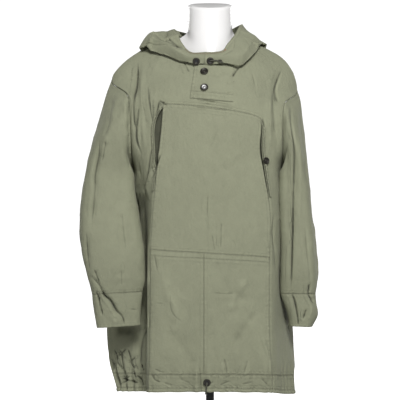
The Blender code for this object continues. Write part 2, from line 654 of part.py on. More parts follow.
def tree_of(*names):
    """One search tree of named objects' meshes."""
    points, faces = [], []
    for name in names:
        mesh = bpy.data.objects[name].data
        first = len(points)
        points += [vertex.co.copy() for vertex in mesh.vertices]
        faces += [[first + index for index in polygon.vertices] for polygon in mesh.polygons]
    return BVHTree.FromPolygons(points, faces)


def outside_tree(u, v):
    """A search tree of the body's outer points on a grid."""
    points = body_surface(u, v)
    across, along = points.shape[:2]
    faces = [(i * along + j, (i + 1) * along + j, (i + 1) * along + j + 1, i * along + j + 1)
             for i in range(across - 1) for j in range(along - 1)]
    return BVHTree.FromPolygons([Vector(point) for point in points.reshape(-1, 3)], faces)


def make_hood(name, rows, sign):
    section = np.linspace(0, 1, 13)
    points = hood_surface(rows, np.linspace(0, 1, 15), section)
    upper = np.linspace(LEVEL["pocket"], LEVEL["neck"], 24)
    carriers = [outside_tree(*np.meshgrid(np.linspace(-3, 3, 41), upper, indexing="ij")),
                outside_tree(*np.meshgrid(np.linspace(3.0001, 5, 15), upper, indexing="ij")),
                outside_tree(*np.meshgrid(np.linspace(-5, -3.0001, 15), upper, indexing="ij"))]
    clearance = HOOD_LIFT + (HOOD_CLEARANCE - HOOD_LIFT) * np.minimum(section / 0.12, 1)
    clearance[0] = -1
    points = lifted_clear(points, carriers, clearance)
    points[-1, :, 0] = sign * SEAM_GAP / 2
    across, along = np.gradient(points, axis=0), np.gradient(points, axis=1)
    normals = np.cross(along, across) * -sign
    normals[-1, :, 0] = 0
    shell(name, points, unit(normals), cotton(name))


def form_ring(torso, turns_u):
    """A smooth closed ring with the given half sizes, at the body's u places."""
    quarter = np.where(np.abs(turns_u) <= 3, np.abs(turns_u) / 3, 1 + (np.abs(turns_u) - 3) / 2)
    angle = quarter * math.pi / 2
    forward = np.cos(angle)
    side = np.sign(turns_u) * np.sin(angle)
    y = np.where(forward > 0, forward * torso.front_y, -forward * torso.back_y)
    z = torso.side_z + np.where(forward > 0, forward * (torso.front_z - torso.side_z),
                                -forward * (torso.back_z - torso.side_z))
    return np.stack([side * torso.side_x, y, z], axis=-1) * MM


# Rings of the form that follow the cloth: its v, and how deep under the shoulder's ridge.
ShoulderRing = namedtuple("ShoulderRing", "v inset")
SHOULDER_RINGS = (
    ShoulderRing(11.65, 0.016),
    ShoulderRing(11.95, 0.014),
    ShoulderRing(12.2, 0.013),
    ShoulderRing(12.5, 0.013),
    ShoulderRing(12.75, 0.0155),
)
OFF_RIDGE_INSET = 0.006  # how much deeper the form lies away from the ridge
RIDGE_REACH = 0.55  # width of the ridge in u


def make_dress_form():
    """The torso follows the cloth along the shoulders, and is raised until the cloth rests on it."""
    columns = np.linspace(-5, 5, 41)[:-1]
    rings = [form_ring(torso, columns) for torso in TORSO]
    ridge = np.exp(-((np.abs(columns) - 3) / RIDGE_REACH) ** 2)
    for shoulder in SHOULDER_RINGS:
        depth = shoulder.inset + OFF_RIDGE_INSET * (1 - ridge)
        v = np.full(len(columns), shoulder.v)
        normal = surface_normal(plain_surface, columns, v)
        rings.append(plain_surface(columns, v) - normal * depth[:, None])
    rings += [form_ring(neck, columns) for neck in NECK]
    builder = bmesh.new()
    loops = [[builder.verts.new(point) for point in ring] for ring in rings]
    for low, high in zip(loops, loops[1:]):
        for n, vert in enumerate(low):
            m = (n + 1) % len(low)
            builder.faces.new((vert, low[m], high[m], high[n]))
    builder.faces.new(loops[0][::-1])
    builder.faces.new(loops[-1])
    bmesh.ops.triangulate(builder, faces=builder.faces, quad_method="SHORT_EDGE")
    seat_under(builder, ("front", "back"))
    add_mesh("dress_form", builder, material("form_gloss_white", (0.88, 0.87, 0.85), 0.2), 60)


def edge_spots(vertices, edges):
    """Points along every edge, its ends included, above the form's shoulder rings."""
    spots = []
    for first, second in edges:
        spots += [vertices[first].lerp(vertices[second], share) for share in (0, 0.25, 0.5, 0.75, 1)]
    return [spot for spot in spots if spot.z > TORSO[-1].side_z * MM]


def seat_under(builder, names):
    """Raises the form's points until the first of them is at the seat clearance under the cloth."""
    cloth = tree_of(*names)
    form = BVHTree.FromBMesh(builder)
    up, reach = Vector((0, 0, 1)), 0.05
    builder.verts.index_update()
    corners = [vert.co for vert in builder.verts]
    ends = [(edge.verts[0].index, edge.verts[1].index) for edge in builder.edges]
    room = [cloth.ray_cast(spot, up, reach)[3] for spot in edge_spots(corners, ends)]
    for name in names:
        mesh = bpy.data.objects[name].data
        corners = [vertex.co for vertex in mesh.vertices]
        room += [form.ray_cast(spot, -up, reach)[3] for spot in edge_spots(corners, mesh.edge_keys)]
    lift = min(distance for distance in room if distance is not None) - SEAT_CLEARANCE
    for vert in builder.verts:
        if vert.co.z > TORSO[0].side_z * MM + SEAT_CLEARANCE:
            vert.co.z += lift


def turned(name, profile, finish, segments=32, matrix=None):
    """A solid of revolution about its own Z: profile is (radius, height), outer side first."""
    builder = bmesh.new()
    loops = []
    for radius, height in profile:
        if radius == 0:
            loops.append([builder.verts.new((0, 0, height))] * segments)
            continue
        loops.append([builder.verts.new((radius * math.cos(2 * math.pi * n / segments),
                                         radius * math.sin(2 * math.pi * n / segments), height))
                      for n in range(segments)])
    pairs = list(zip(loops, loops[1:]))
    if profile[0][0] > 0 and profile[-1][0] > 0:
        pairs.append((loops[-1], loops[0]))
    for first, second in pairs:
        for n in range(segments):
            m = (n + 1) % segments
            corners = list(dict.fromkeys((first[n], first[m], second[m], second[n])))
            builder.faces.new(corners)
    made = add_mesh(name, builder, finish, 35)
    if matrix is not None:
        made.matrix_world = matrix
    return made


def make_stand():
    black = material("stand_black", (0.02, 0.02, 0.02), 0.4)
    top = TORSO[0].front_z * MM - SEAM_GAP
    turned("stand_pole", ((0, top), (POLE_RADIUS, top), (POLE_RADIUS, BASE_HEIGHT + SEAM_GAP),
                          (0, BASE_HEIGHT + SEAM_GAP)), black, 24)
    shoulder, rim = BASE_RADIUS - BASE_CHAMFER, BASE_HEIGHT - BASE_CHAMFER
    turned("stand_base", ((0, BASE_HEIGHT), (shoulder, BASE_HEIGHT), (BASE_RADIUS, rim),
                          (BASE_RADIUS, 0), (0, 0)), black, 48)


def front_place(x, z, rounds=12):
    """(u, v) of the front's point that is seen at x, z."""
    heights = [centre.front_z * MM for centre in CENTRE]
    u, v = x / 0.15, np.interp(z, heights, np.arange(len(heights)))
    step = 0.01
    for _ in range(rounds):
        here = body_surface(u, v)
        miss_x, miss_z = x - here[..., 0], z - here[..., 2]
        by_u = (body_surface(u + step, v) - here) / step
        above = np.minimum(v + step, LEVEL["neck"])
        by_v = (body_surface(u, above) - body_surface(u, above - step)) / step
        determinant = by_u[..., 0] * by_v[..., 2] - by_v[..., 0] * by_u[..., 2]
        u = np.clip(u + 0.8 * (miss_x * by_v[..., 2] - by_v[..., 0] * miss_z) / determinant, -2.9, 2.9)
        v = np.clip(v + 0.8 * (by_u[..., 0] * miss_z - miss_x * by_u[..., 2]) / determinant, 0, 12.98)
    return u, v


PLACKET_LEFT, PLACKET_RIGHT = -0.046, 0.058
PLACKET_FOOT, PLACKET_TOP = 0.866, 0.944
PLACKET_SKEW = 0.006  # its left edge leans out by this at the foot, and in by it at the top
PLACKET_DROP = 0.010  # the right end of its foot lies this much lower
PLACKET_WALL = 0.0012


def make_placket():
    share_x, share_z = np.meshgrid(np.linspace(0, 1, 10), np.linspace(0, 1, 8), indexing="ij")
    x = PLACKET_LEFT + (PLACKET_RIGHT - PLACKET_LEFT) * share_x
    x = x - PLACKET_SKEW * (1 - share_z) * (1 - share_x) + PLACKET_SKEW * share_z * (1 - share_x)
    z = PLACKET_FOOT - PLACKET_DROP * share_x * (1 - share_z) + (PLACKET_TOP - PLACKET_FOOT) * share_z
    u, v = front_place(x, z)
    normal = surface_normal(body_surface, u, v)
    points = body_surface(u, v) + normal * (LAID_ON + PLACKET_WALL)
    shell("placket", points, normal, cotton("placket"), wall=PLACKET_WALL)


BAG_DEPTH = 0.014
BAG_LEAN = 0.0020  # the bag's outer edge lies this much deeper than its inner one
BAG_WALL = 0.0012
BAG_LOW_U, BAG_MARGIN_U = 0.66, 0.22  # the bag reaches in behind the bib, and out past the mouth
WELT_WALL = 0.0011
WELT_WIDTH_U = {-1: 0.10, 1: 0.16}
WELT_OFFSET_U = 0.03  # from the mouth's edge


def make_pocket_pieces():
    """Each mouth has a bag under it and a stitched welt on its outer edge."""
    for mouth, side in zip(POCKET_MOUTHS, ("left", "right")):
        v_line = np.linspace(mouth.low_v + 0.1, mouth.high_v - 0.05, 9)
        share_u = np.linspace(0, 1, 7)
        high_u = 1 + mouth.gape + BAG_MARGIN_U
        u = mouth.sign * (BAG_LOW_U + (high_u - BAG_LOW_U) * share_u)[:, None] + 0 * v_line[None]
        v = 0 * u + v_line[None]
        share_v = np.linspace(0, 1, len(v_line))
        hollow = np.sin(math.pi * share_u)[:, None] * np.sin(math.pi * share_v)[None]
        depth = WALL + LAID_ON + BAG_DEPTH * hollow**0.7 + BAG_LEAN * share_u[:, None]
        normal = surface_normal(body_surface, u, v)
        bag = body_surface(u, v) - normal * depth[..., None]
        shell("pocket_bag_" + side, bag, normal, cotton("bag"), wall=BAG_WALL)

        v_line = np.linspace(mouth.low_v + 0.15, mouth.high_v - 0.12, 10)
        edge = 1 + mouth_profile(mouth, v_line)
        across = np.linspace(0, WELT_WIDTH_U[mouth.sign], 3)
        u = mouth.sign * (edge[None] + WELT_OFFSET_U + across[:, None])
        v = 0 * u + v_line[None]
        normal = surface_normal(body_surface, u, v)
        welt = body_surface(u, v) + normal * (LAID_ON + WELT_WALL)
        shell("pocket_welt_" + side, welt, normal, cotton("welt"), wall=WELT_WALL)


def frame_at(point, normal, lift=0.0):
    """A matrix with its Z along the normal, at a lifted point."""
    normal = Vector(normal)
    turn = normal.to_track_quat("Z", "Y").to_matrix().to_4x4()
    return Matrix.Translation(Vector(point) + normal * lift) @ turn


def make_button(name, point, normal, lift, radius=BUTTON_RADIUS, height=BUTTON_HEIGHT):
    """A concave metal-rimmed button."""
    dark = material("button_dark", (0.07, 0.07, 0.055), 0.3, 0.6)
    profile = ((0, 0), (radius * 0.8, 0), (radius, height * 0.45), (radius, height * 0.75),
               (radius * 0.9, height), (radius * 0.72, height * 0.95), (radius * 0.45, height * 0.55),
               (0, height * 0.45))
    turned(name, profile, dark, 24, frame_at(point, normal, lift))


def make_eyelet(name, point, normal, lift):
    """A rolled metal ring."""
    metal = material("eyelet_metal", (0.10, 0.10, 0.085), 0.35, 0.8)
    half = (EYELET_RADIUS - EYELET_HOLE) / 2
    middle = (EYELET_RADIUS + EYELET_HOLE) / 2
    profile = [(middle + half * math.cos(a), EYELET_HEIGHT / 2 + EYELET_HEIGHT / 2 * math.sin(a))
               for a in (2 * math.pi * n / 8 for n in range(8))]
    turned(name, profile, metal, 20, frame_at(point, normal, lift))


BUTTON_X = -0.015
BUTTON_HEIGHTS = (0.9345, 0.8925)
POCKET_BUTTON = (0.139, 0.708)
NECK_EYELETS = ((-0.036, 0.9625), (-0.0005, 0.9635))
HEM_EYELET = (-0.0085, 0.1505)


def hood_place(rows, x, z):
    """The nearest point of the hood's outside to x, z as seen from the front, and its normal."""
    share, section = np.linspace(0, 0.3, 61), np.linspace(0.1, 1, 91)
    points = hood_surface(rows, share, section)
    miss = np.hypot(points[..., 0] - x, points[..., 2] - z)
    i, j = np.unravel_index(np.argmin(miss), miss.shape)
    i, j = max(1, min(i, 59)), max(1, min(j, 89))
    normal = unit(np.cross(points[i + 1, j] - points[i - 1, j], points[i, j + 1] - points[i, j - 1]))
    return points[i, j], normal * (-1 if normal[1] > 0 else 1)


def make_fastenings():
    for index, height in enumerate(BUTTON_HEIGHTS, 1):
        u, v = front_place(np.array([BUTTON_X]), np.array([height]))
        point, normal = body_surface(u, v)[0], surface_normal(body_surface, u, v)[0]
        make_button(f"placket_button_{index}", point, normal, LAID_ON + PLACKET_WALL + SEAM_GAP)
    u, v = front_place(np.array([POCKET_BUTTON[0]]), np.array([POCKET_BUTTON[1]]))
    point, normal = body_surface(u, v)[0], surface_normal(body_surface, u, v)[0]
    make_button("pocket_button", point, normal, LAID_ON + WELT_WALL + SEAM_GAP, POCKET_BUTTON_RADIUS)
    for name, rows, (x, z) in (("neck_eyelet_left", HOOD_LEFT, NECK_EYELETS[0]),
                               ("neck_eyelet_right", HOOD_RIGHT, NECK_EYELETS[1])):
        point, normal = hood_place(rows, x, z)
        make_eyelet(name, point, normal, SEAM_GAP * 4)
    u, v = front_place(np.array([HEM_EYELET[0]]), np.array([HEM_EYELET[1]]))
    point = casing_surface(u, v)[0]
    make_eyelet("hem_eyelet", point, surface_normal(plain_surface, u, v)[0], SEAM_GAP * 3)


CORD_RADIUS = 0.0018
# The hood cord comes out of the right eyelet, and its tail with a knot lies to the right.
HOOD_CORD_ROUTE = ((0.2, -94.0, 963), (4.2, -96.3, 963.4), (8, -96.9, 963.8), (12.5, -95.3, 964.2),
                   (18, -93.8, 963.7), (24, -93.3, 962.6), (29, -93.1, 960.8), (33, -93.0, 958.2))
# The hem cord hangs out of its eyelet, over its rim, to the hem.
HEM_CORD_ROUTE = ((-8.6, -154.0, 150.3), (-8.8, -155.5, 146.6), (-9.2, -155.9, 142.5),
                  (-9.9, -154.9, 138), (-10.6, -153.6, 132.5), (-11.3, -152.4, 126.5), (-12, -151.6, 120.5))
CORD_POINTS = 14


def make_cord(name, route, radius):
    points = catmull(np.array(route, float) * MM, np.linspace(0, len(route) - 1, CORD_POINTS))
    curve = bpy.data.curves.new(name, "CURVE")
    curve.dimensions = "3D"
    curve.bevel_depth = radius
    curve.bevel_resolution = 2
    curve.use_fill_caps = True
    spline = curve.splines.new("POLY")
    spline.points.add(CORD_POINTS - 1)
    for spot, point in zip(spline.points, points):
        spot.co = (*point, 1)
    curve.materials.append(material("cord_olive", (0.16, 0.16, 0.11), 0.8))
    made = bpy.data.objects.new(name, curve)
    bpy.context.scene.collection.objects.link(made)


def main():
    for old in list(bpy.data.objects):
        bpy.data.objects.remove(old)
    make_front()
    make_front_panel("bib", -1, 1, ROW_WAIST, ROW_BIB)
    make_front_panel("skirt_left", -1, CENTRE_SEAM_U, 0, ROW_WAIST)
    make_front_panel("skirt_right", CENTRE_SEAM_U, 1, 0, ROW_WAIST)
    make_back()
    make_casing()
    make_sleeve("sleeve_left", SLEEVE_LEFT, -1)
    make_sleeve("sleeve_right", SLEEVE_RIGHT, 1)
    make_cuff("cuff_left", CUFF_LEFT, -1)
    make_cuff("cuff_right", CUFF_RIGHT, 1)
    make_hood("hood_left", HOOD_LEFT, -1)
    make_hood("hood_right", HOOD_RIGHT, 1)
    make_placket()
    make_pocket_pieces()
    make_fastenings()
    make_cord("hood_cord", HOOD_CORD_ROUTE, CORD_RADIUS)
    make_cord("hem_cord", HEM_CORD_ROUTE, CORD_RADIUS)
    make_dress_form()
    make_stand()


main()
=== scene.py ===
"""The looks of an olive cotton pullover parka on a limbless dress form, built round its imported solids.

Metres, +Z up, the wearer's front faces -Y; "left" and "right" are as seen from the front. Tables are
in millimetres. The body is one surface, body_surface(u, v): u runs round it through the stations
0 front centre, 1 bib edge, 2 tuck, 3 side seam, 4 shoulder blade, 5 back centre, negative on the left,
and v runs up the levels of LEVELS. Every panel is a fine piece of it, with its seams and folds.
"""

import json
import math
from collections import namedtuple

import bpy
import numpy as np
from mathutils import Matrix, Vector
from mathutils.bvhtree import BVHTree

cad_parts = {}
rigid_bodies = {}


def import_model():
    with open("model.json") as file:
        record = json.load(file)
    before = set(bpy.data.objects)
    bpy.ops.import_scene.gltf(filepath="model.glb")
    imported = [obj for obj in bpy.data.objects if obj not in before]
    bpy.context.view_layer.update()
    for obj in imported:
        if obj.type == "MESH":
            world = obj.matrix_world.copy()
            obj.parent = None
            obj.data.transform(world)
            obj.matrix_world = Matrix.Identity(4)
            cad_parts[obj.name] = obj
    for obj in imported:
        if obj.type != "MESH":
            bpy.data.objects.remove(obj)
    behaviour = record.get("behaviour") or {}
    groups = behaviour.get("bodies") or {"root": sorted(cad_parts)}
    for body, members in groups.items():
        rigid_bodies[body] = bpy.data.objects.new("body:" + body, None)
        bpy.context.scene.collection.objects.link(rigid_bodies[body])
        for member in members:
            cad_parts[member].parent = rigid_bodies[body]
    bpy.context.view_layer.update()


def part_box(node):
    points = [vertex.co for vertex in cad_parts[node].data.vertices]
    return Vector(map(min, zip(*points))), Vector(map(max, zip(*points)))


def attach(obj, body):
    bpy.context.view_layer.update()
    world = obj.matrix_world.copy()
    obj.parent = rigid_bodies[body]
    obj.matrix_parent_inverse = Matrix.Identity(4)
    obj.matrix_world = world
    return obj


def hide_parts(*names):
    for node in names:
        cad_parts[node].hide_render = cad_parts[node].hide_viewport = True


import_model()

MM = 0.001

# The photograph's view: level, far away, one pixel to 2.6 mm at the middle of the form.
CAMERA_PLACE = (-0.026, -4.5, 0.609)
CAMERA_LENS = 155.77
CAMERA_SENSOR = 36.0

WALL = 0.0016
SEAM_GAP = 0.0002
RIM_BEVEL = 0.0004
LAID_ON = 0.0005
SLEEVE_STEPS = 10
SLEEVE_LAP = 0.0009
HOOD_CLEARANCE = 0.0030
HOOD_LIFT = 0.0006
HOOD_REACH = 0.04
BUTTON_RADIUS = 0.0102
BUTTON_HEIGHT = 0.0034
POCKET_BUTTON_RADIUS = 0.0087
EYELET_RADIUS = 0.0095
EYELET_HOLE = 0.0042
EYELET_HEIGHT = 0.0016
CENTRE_SEAM_U = -0.10
BEHIND_SIDE = 3.0001  # the u just behind a side seam

LEVELS = ("hem", "casing", "knee", "thigh", "hip", "waist", "rib", "armpit", "chest", "pocket",
          "yoke", "cap", "shoulder", "neck")
LEVEL = {name: index for index, name in enumerate(LEVELS)}

Centre = namedtuple("Centre", "level front_y front_z back_y back_z")
CENTRE = (
    Centre("hem", -148, 126, 155, 112),
    Centre("casing", -153, 171, 160, 158),
    Centre("knee", -156, 225, 164, 213),
    Centre("thigh", -157, 300, 166, 290),
    Centre("hip", -157, 385, 163, 380),
    Centre("waist", -156, 475, 156, 470),
    Centre("rib", -155, 580, 146, 580),
    Centre("armpit", -155, 680, 136, 685),
    Centre("chest", -152, 740, 133, 752),
    Centre("pocket", -147, 800, 130, 818),
    Centre("yoke", -139, 845, 124, 885),
    Centre("cap", -127, 885, 112, 938),
    Centre("shoulder", -106, 922, 90, 988),
    Centre("neck", -86, 950, 62, 1026),
)

Flank = namedtuple(
    "Flank", "level bib_x bib_y tuck_x tuck_y side_x side_y side_z rear_x rear_y blade_x blade_y")
FLANK_LEFT = (
    Flank("hem", 152, -126, 166, -48, 238, 22, 110, 238, 22, 150, 138),
    Flank("casing", 154, -131, 167, -44, 253, 30, 157, 253, 30, 162, 144),
    Flank("knee", 155, -134, 168, -36, 265, 38, 210, 265, 38, 172, 148),
    Flank("thigh", 154, -134, 168, -22, 267, 48, 290, 267, 48, 176, 150),
    Flank("hip", 154, -133, 168, -14, 252, 56, 380, 252, 56, 172, 148),
    Flank("waist", 152, -132, 167, -20, 233, 56, 470, 233, 56, 166, 142),
    Flank("rib", 145, -131, 168, -42, 213, 44, 580, 213, 44, 162, 128),
    Flank("armpit", 136, -130, 174, -84, 198, -2, 675, 198, -2, 162, 112),
    Flank("chest", 129, -129, 174, -106, 201, -68, 735, 203, 64, 156, 112),
    Flank("pocket", 123, -126, 174, -108, 203, -84, 800, 205, 76, 150, 112),
    Flank("yoke", 119, -119, 176, -98, 211, -66, 878, 213, 60, 146, 104),
    Flank("cap", 112, -106, 180, -66, 255, 0, 921, 255, 0, 142, 88),
    Flank("shoulder", 92, -82, 150, -50, 203, 3, 984, 203, 3, 112, 64),
    Flank("neck", 36, -76, 70, -44, 86, 4, 1036, 86, 4, 62, 48),
)
FLANK_RIGHT = (
    Flank("hem", 152, -126, 186, -84, 219, 4, 106, 219, 4, 160, 124),
    Flank("casing", 152, -131, 184, -86, 217, 8, 155, 217, 8, 162, 128),
    Flank("knee", 151, -134, 180, -88, 220, 24, 210, 220, 24, 166, 134),
    Flank("thigh", 149, -135, 174, -92, 214, 52, 290, 214, 52, 168, 140),
    Flank("hip", 149, -134, 173, -92, 188, 22, 380, 188, 22, 168, 136),
    Flank("waist", 150, -132, 174, -90, 186, 8, 470, 186, 8, 164, 130),
    Flank("rib", 151, -131, 173, -92, 184, 2, 580, 184, 2, 160, 120),
    Flank("armpit", 135, -130, 168, -98, 183, -2, 675, 183, -2, 156, 110),
    Flank("chest", 125, -129, 166, -106, 184, -70, 735, 184, 66, 150, 110),
    Flank("pocket", 129, -124, 166, -106, 184, -84, 800, 184, 76, 146, 108),
    Flank("yoke", 122, -117, 164, -96, 190, -66, 857, 190, 60, 142, 100),
    Flank("cap", 112, -104, 166, -66, 226, 0, 895, 226, 0, 138, 86),
    Flank("shoulder", 90, -80, 144, -48, 191, 3, 976, 191, 3, 110, 62),
    Flank("neck", 34, -74, 68, -42, 84, 4, 1030, 84, 4, 60, 46),
)
# How far each station's height has gone from the front centre's to the side's, and on to the back's.
HEIGHT_SHARE = {0: 0.0, 1: 0.2, 2: 0.6, 3: 1.0, 4: 0.6}
# How roundly the surface passes each station: the bib's edges are the sharp corners.
ROUNDNESS = {0: 1.0, 1: 0.45, 2: 0.7, 3: 0.9, 4: 1.0, 5: 1.0}

# A sleeve ring is an ellipse whose diameter runs from its outer to its inner point, seen from the front.
Ring = namedtuple("Ring", "out_x out_z in_x in_z mid_y half_depth")
SLEEVE_LEFT = (
    Ring(255, 921, 198, 675, -5, 82),
    Ring(268, 885, 204, 671, -6, 83),
    Ring(285, 825, 207, 667, -11, 80),
    Ring(303, 765, 208, 660, -18, 75),
    Ring(317, 700, 207, 645, -26, 70),
    Ring(327, 645, 203, 620, -33, 67),
    Ring(334, 585, 195, 578, -40, 65),
    Ring(335.5, 520, 186, 520, -47, 63),
    Ring(327, 458, 178, 458, -52, 59),
    Ring(312, 408, 178, 408, -56, 50),
    Ring(303, 368, 185, 376, -59, 40),
)
CUFF_LEFT = (
    SLEEVE_LEFT[-1],
    Ring(301, 346, 184, 352, -60, 38),
    Ring(296, 318, 181, 324, -61, 36),
    Ring(290, 282, 178, 290, -62, 34),
)
SLEEVE_RIGHT = (
    Ring(226, 895, 183, 675, -3, 80),
    Ring(236, 855, 190, 671, -3, 84),
    Ring(243, 800, 193, 667, -5, 86),
    Ring(249, 737, 194, 660, -8, 87),
    Ring(254, 680, 194, 645, -11, 89),
    Ring(259, 620, 194, 612, -14, 91),
    Ring(265, 552, 196, 552, -17, 92),
    Ring(271, 490, 199, 490, -20, 91),
    Ring(275, 430, 197, 430, -23, 84),
    Ring(275.5, 396, 196, 396, -27, 72),
    Ring(271, 370, 197, 370, -30, 62),
)
CUFF_RIGHT = (
    SLEEVE_RIGHT[-1],
    Ring(273, 345, 202, 346, -31, 60),
    Ring(277, 315, 204, 318, -32, 57),
    Ring(262, 284, 206, 286, -33, 53),
)

# The hood's section goes from the neck seam under the fold, round it, over the crest and in to the rim.
Cowl = namedtuple("Cowl", "neck_u under fold crest rim")
HOOD_LEFT = (
    Cowl(-0.36, (-13, -90, 957), (-13, -92, 965), (-13, -91, 976), (-13, -86, 987)),
    Cowl(-0.75, (-42, -88, 958), (-62, -86, 962), (-62, -92, 978), (-50, -76, 988)),
    Cowl(-1.50, (-85, -66, 992), (-127, -50, 985), (-118, -56, 1014), (-72, -52, 1013)),
    Cowl(-2.30, (-125, -24, 1022), (-179, -18, 1002), (-158, -14, 1031), (-82, -24, 1037)),
    Cowl(-3.20, (-125, 24, 1030), (-177, 40, 990), (-152, 42, 1045), (-92, 28, 1057)),
    Cowl(-4.10, (-92, 96, 985), (-132, 140, 885), (-120, 152, 1000), (-80, 90, 1056)),
    Cowl(-5.00, (0, 112, 985), (0, 156, 800), (0, 196, 930), (0, 124, 1044)),
)
HOOD_RIGHT = (
    Cowl(-0.31, (-11, -90, 957), (-11, -92, 965), (-11, -91, 976), (-11, -86, 986)),
    Cowl(0.80, (26, -90, 957), (42, -90, 961), (44, -93, 977), (28, -84, 990)),
    Cowl(1.50, (60, -76, 966), (78, -86, 953), (86, -84, 984), (45, -66, 1011)),
    Cowl(2.30, (92, -44, 1006), (112, -56, 984), (109, -34, 1022), (62, -40, 1034)),
    Cowl(3.20, (108, 16, 1032), (140, 20, 1012), (118, 24, 1038), (76, 8, 1062)),
    Cowl(4.10, (90, 94, 985), (134, 134, 888), (116, 146, 1002), (80, 78, 1072)),
    Cowl(5.00, (0, 112, 985), (0, 156, 800), (0, 196, 930), (0, 124, 1044)),
)

# Dress form rings below the shoulders and up the neck.
Torso = namedtuple("Torso", "side_x front_y back_y front_z side_z back_z")
TORSO = (
    Torso(120, -86, 92, 430, 430, 430),
    Torso(150, -104, 112, 445, 445, 445),
    Torso(158, -110, 116, 500, 500, 500),
    Torso(146, -104, 106, 600, 600, 600),
    Torso(148, -116, 106, 700, 700, 700),
    Torso(156, -126, 108, 790, 790, 790),
    Torso(166, -118, 104, 850, 860, 870),
)
NECK = (
    Torso(62, -62, 58, 984, 1033, 1040),
    Torso(58, -57, 59, 1020, 1066, 1070),
    Torso(57, -54, 60, 1060, 1090, 1096),
    Torso(57, -53, 60, 1092, 1106, 1116),
    Torso(54, -50, 57, 1096, 1109, 1119),
)

# Large folds, seen from the front or the back: a soft trough (negative) or ridge along a line.
Crease = namedtuple("Crease", "facing x0 z0 x1 z1 half_width height")
CREASES = (
    Crease(-1, -158, 300, -160, 480, 16, -5),
    Crease(-1, -176, 880, -166, 790, 14, -4),
    Crease(-1, -196, 960, -192, 820, 13, -6),
    Crease(-1, 176, 890, 180, 800, 13, -5),
    Crease(-1, 124, 250, 148, 150, 18, 5),
    Crease(-1, -120, 300, -60, 230, 24, -3),
    Crease(-1, 20, 350, 80, 330, 26, -3),
    Crease(1, -90, 800, -40, 600, 34, -5),
    Crease(1, 100, 760, 50, 560, 34, -5),
    Crease(1, -150, 520, -120, 260, 30, 6),
    Crease(1, 10, 560, 0, 240, 36, 6),
    Crease(1, 130, 540, 120, 260, 30, 6),
    Crease(1, -60, 480, -70, 200, 26, -5),
    Crease(1, 70, 500, 66, 200, 26, -5),
)

CASING_TOP_V = 0.991
GATHERS_PER_STATION = 4
GATHER_HEIGHT = 0.0024
GATHER_REACH = 1.1

# The grid of the front: rows bent to the seams, as in the solids.
ROW_WAIST, ROW_BIB, ROW_TOP = 5, 12, 20
SIDE_ROWS = np.array([1, 1.5, 2.3, 3.2, 4.1, 5, 6] + list(np.linspace(7, 11, SLEEVE_STEPS + 1))
                     + [11.67, 12.33, 13])
ROW_ARMPIT, ROW_CAP = 7, 7 + SLEEVE_STEPS
WAIST_V, WAIST_SLOPE = 5.0, -0.11
BIB_V, BIB_SLOPE, BIB_CURVE = 9.93, -0.36, -0.30

Mouth = namedtuple("Mouth", "sign low_v high_v gape")
POCKET_MOUTHS = (Mouth(-1, 6.35, 9.8, 0.30), Mouth(1, 6.2, 9.1, 0.10))
BAG_DEPTH, BAG_LEAN, BAG_WALL = 0.014, 0.0020, 0.0012
BAG_LOW_U, BAG_MARGIN_U = 0.66, 0.22
WELT_WALL = 0.0011
WELT_WIDTH_U = {-1: 0.10, 1: 0.16}
WELT_OFFSET_U = 0.03

PLACKET_LEFT, PLACKET_RIGHT = -0.046, 0.058
PLACKET_FOOT, PLACKET_TOP = 0.866, 0.944
PLACKET_SKEW, PLACKET_DROP, PLACKET_WALL = 0.006, 0.010, 0.0012

BUTTON_X = -0.015
BUTTON_HEIGHTS = (0.9345, 0.8925)
POCKET_BUTTON = (0.139, 0.708)
NECK_EYELETS = ((-0.036, 0.9625), (-0.0005, 0.9635))
HEM_EYELET = (-0.0085, 0.1505)

CORD_RADIUS = 0.0018
HOOD_CORD_ROUTE = ((0.2, -94.0, 963), (4.2, -96.3, 963.4), (8, -96.9, 963.8), (12.5, -95.3, 964.2),
                   (18, -93.8, 963.7), (24, -93.3, 962.6), (29, -93.1, 960.8), (33, -93.0, 958.2))
HEM_CORD_ROUTE = ((-8.6, -154.0, 150.3), (-8.8, -155.5, 146.6), (-9.2, -155.9, 142.5),
                  (-9.9, -154.9, 138), (-10.6, -153.6, 132.5), (-11.3, -152.4, 126.5), (-12, -151.6, 120.5))

ShoulderRing = namedtuple("ShoulderRing", "v inset")
SHOULDER_RINGS = (
    ShoulderRing(11.65, 0.016),
    ShoulderRing(11.95, 0.014),
    ShoulderRing(12.2, 0.013),
    ShoulderRing(12.5, 0.013),
    ShoulderRing(12.75, 0.0155),
)
OFF_RIDGE_INSET = 0.006
RIDGE_REACH = 0.55

FOLD_GAIN = 1.45
FOLD_NARROW = 0.72

